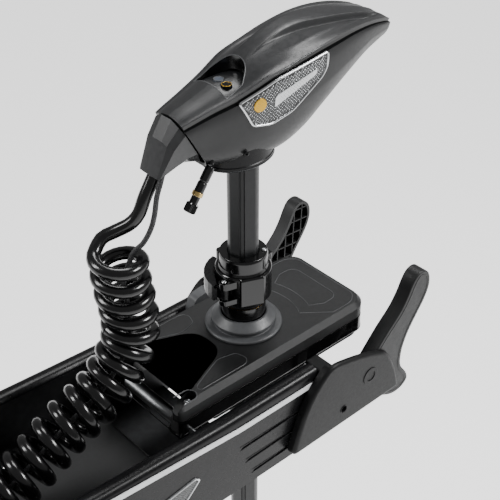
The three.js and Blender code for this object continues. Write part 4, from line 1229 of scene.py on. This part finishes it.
def raised(name, outline, side, look):
    """A flat raised mark on the badge's plate, with a rounded edge."""
    rings = [on_flank(inset(outline, d), side, out)
             for d, out in ((0, 0.9), (0.05, 1.7), (0.35, 2.0), (1.0, 2.05))]
    size = len(outline)
    points = [p for ring in rings for p in ring]
    faces = [list(range(size)), list(range(len(points) - size, len(points)))]
    for r in range(len(rings) - 1):
        faces += [[r * size + k, r * size + (k + 1) % size, (r + 1) * size + (k + 1) % size,
                   (r + 1) * size + k] for k in range(size)]
    dressed(made(name, points, faces), look, "column")


def make_nose():
    """A faceted funnel, with a long shiny chamfer on each side of its face."""
    rings = [
        [(-96.4, 7, 297), (-95.4, 17.5, 291.5), (-90.5, 21, 283), (-76.5, 21, 258),
         (-67.8, 14, 244)],
        [(-109, 7, 278), (-108.4, 15, 276), (-104, 20, 271), (-88, 19, 256), (-80, 12, 247)],
        [(-121.4, 7, 244), (-121, 13.5, 244), (-119, 16, 244.5), (-101, 15, 250),
         (-98, 10, 251)],
    ]
    whole = []
    for half in rings:
        whole.append(half + [(x, -y, z) for x, y, z in reversed(half)])
    nose = bevelled(rings_solid("head_nose_fine", whole, rel), 1.3, 4, 12)
    core = [[(x * 0.8 - 20.5 + (2 if r else -1), y * 0.78, z * 0.8 + 50 + (3, -1, -7)[r])
             for x, y, z in ring] for r, ring in enumerate(whole)]
    hollow = rings_solid("hollow", core[1:], rel)
    cut(nose, hollow)
    dressed(nose, "charcoal", "column", "head_nose", 24)


def make_neck():
    outline = [Vector((-8 + 42 * math.cos(a), 33 * math.sin(a)))
               for a in (2 * math.pi * k / 96 for k in range(96))]
    levels = [(3.5, 221), (0.9, 221.6), (0, 223), (0, 226), (0.8, 227), (0.8, 266), (12, 266)]
    rings = [[(p.x, p.y, z) for p in inset(outline, d)] for d, z in levels]
    skirt = rings_solid("neck_skirt_fine", rings, rel)
    cut(skirt, turned("bore", [(18, 200), (18, 280)], upright(0, 0), 64))
    dressed(skirt, "satin_black", "column", "neck_skirt")
    # a pale grey ring: a painted highlight along the skirt's edge
    line = tube("neck_line", [rel(p.x, p.y, 223.2) for p in inset(outline, -0.2)], 0.35 * MM, 6,
                closed=True)
    dressed(line, "ring_grey", "column")
    screw("neck_screw", sideways(-24, -31.6, 243, (-0.35, -1, 0), rel), 3.4, "column", "satin_black")


def make_connector():
    """The sonar lead's connector: a barrel, a bright nut and a knurled cap."""
    axis = (Matrix.Translation(rel(-62, -24, 242)) @ Matrix.Rotation(math.radians(36), 4, "Y")
            @ Matrix.Scale(MM, 4))
    barrel = turned("connector_body_fine", filleted([
        (0, -33.8), (3.4, -33.8), (3.4, -30), (5, -29.5), (5, -20), (4.4, -19.4), (4.4, -18),
        (5, -17.4), (5, -6), (4, -2), (0, -2)], 0.4), axis, 40)
    dressed(barrel, "rubber", "column", "connector_body")
    nut = turned("connector_nut", filleted([(3.2, -34), (5.7, -34), (5.7, -29.6), (3.2, -29.6),
                                            (3.2, -34)], 0.35), axis, 40)
    dressed(nut, "brass", "column")
    teeth = []
    for z, r in ((-52, 5.4), (-51.2, 6.3), (-43, 6.3), (-42, 5.4)):
        teeth.append([((r - 0.45 * (k % 2)) * math.cos(2 * math.pi * k / 56),
                       (r - 0.45 * (k % 2)) * math.sin(2 * math.pi * k / 56), z)
                      for k in range(56)])
    cap = rings_solid("connector_cap_fine", teeth, lambda x, y, z: axis @ Vector((x, y, z)))
    stem = turned("stem", [(0, -42.4), (4.5, -42.4), (4.5, -34.4), (0, -34.4)], axis, 32)
    dressed(joined(cap, stem), "gloss_black", "column", "connector_cap")
    wire = tube("connector_wire", curve_through([
        rel(-62, -24, 242), rel(-61, -23, 245), rel(-58, -18, 252), rel(-54, -12, 262)], 8),
        2.2 * MM, 10)
    dressed(wire, "rubber", "column")


def trim_band():
    """The shiny band let in between cover and shell, all the way round the head."""
    stations, count = [], 90
    for k in range(count + 1):
        x = -92 + (TAIL_END - 0.7 + 92) * (1 - (1 - k / count) ** 1.9)
        top, belt, wide, crease = head_at(x)[:4]
        high, low = band_edges(top, belt, crease)
        ring = [(wide - 1.0, high), (wide - 1.0, low), (wide - 3.5, low), (wide - 3.5, high)]
        stations.append([(x, y, z) for y, z in drawn_round(x, ring)])
    port = stations
    starboard = [[(x, -y, z) for x, y, z in ring] for ring in reversed(stations)]
    band = rings_solid("head_trim_band_fine", port + starboard, rel)
    dressed(band, "gloss_black", "column", "head_trim_band")


def make_head():
    cover = head_patch("head_top_cover_fine", crown, 26)
    status_window(cover)
    dressed(cover, "charcoal", "column", "head_top_cover", 24)
    trim_band()
    shell = head_patch("head_lower_shell_fine", flank, 24)
    cut(shell, turned("shaft_hole", [(17.4, 215), (17.4, 262)], upright(0, 0), 48))
    dressed(shell, "flank", "column", "head_lower_shell", 24)
    for side in (-1, 1):
        badge(side)
    make_nose()
    make_neck()
    make_connector()


# ---------------------------------------------------------------- motor pod
POD_Z = -822


def pod_piece(node, profile, look, fillet=1.5, steps=96):
    """A piece turned about the pod's axis; its profile holds radius and distance outboard."""
    place = (Matrix.Translation(Vector((AXIS.x, AXIS.y, POD_Z * MM)))
             @ Matrix.Rotation(math.radians(90), 4, "Y") @ Matrix.Scale(MM, 4))
    piece = turned(f"{node}_fine", filleted(profile, fillet), place, steps)
    return dressed(piece, look, BODY[node], node)


def make_pod():
    pod_piece("nose_cone", [
        (46, 75.3), (46, 95), (44.4, 120), (39.5, 145), (31, 166), (19, 182.5), (8, 190),
        (0, 191.8), (0, 186), (16, 179), (34, 147), (39, 120), (41, 95), (41, 75.3), (46, 75.3),
    ], "pod_paint", 6)
    pod_piece("rear_end_bell", [
        (46, -75.3), (43.2, -87), (36.5, -105), (25, -134), (20, -141), (8, -141), (8, -91),
        (16.3, -91), (16.3, -81), (41, -81), (41, -75.3), (46, -75.3)], "pod_paint", 2)
    refined("motor_tube", "pod_paint", 1.2)
    refined("skeg", "pod_paint", 2.2, segments=4)
    refined("propeller_nut", "steel", 0.8)
    make_propeller()


def make_propeller():
    """Two swept, twisted blades on a turned hub."""
    prop_x = -168
    hub = pod_piece("propeller", [
        (6.4, prop_x - 16), (14, prop_x - 16), (22, prop_x - 4), (22, prop_x + 22),
        (18, prop_x + 26), (6.4, prop_x + 26), (6.4, prop_x - 16)], "prop_black", 2)
    for turn in (1, -1):
        rings = []
        for i in range(27):
            r = 16 + (139.5 - 16) * i / 26
            part = r / 140
            tip = math.sqrt(max(0.0, 1 - max(0.0, (part - 0.86) / 0.14) ** 2.2))
            chord = (34 + 46 * math.sin(math.pi * min(1, part * 0.95)) - 22 * part ** 6)
            chord *= max(0.25, tip)
            thick = (3.2 - 2 * part) * max(0.4, tip)
            pitch = math.atan2(48, r + 14)
            sweep = -26 * part ** 2
            ring = []
            for k in range(36):
                angle = 2 * math.pi * k / 36
                along = chord / 2 * math.cos(angle) + sweep
                off = thick * math.sin(angle)
                ring.append((prop_x + 3 + along * math.sin(pitch) + off * math.cos(pitch),
                             turn * (along * math.cos(pitch) - off * math.sin(pitch)), turn * r))
            rings.append(ring)
        blade = rings_solid("blade", rings, lambda x, y, z: Vector((
            AXIS.x + x * MM, AXIS.y + y * MM, (POD_Z + z) * MM)))
        joined(hub, blade)
    dressed(hub, "prop_black", "propeller", "propeller", 40)


make_camera()
make_studio()
make_cords()
make_base()
make_housing()
make_shaft()
make_depth_collar()
make_head()
make_pod()
for node, obj in frame["nodes"].items():
    if not obj.hide_render:
        obj.data.materials.clear()
        obj.data.materials.append(MATERIALS[SLOT[node]])
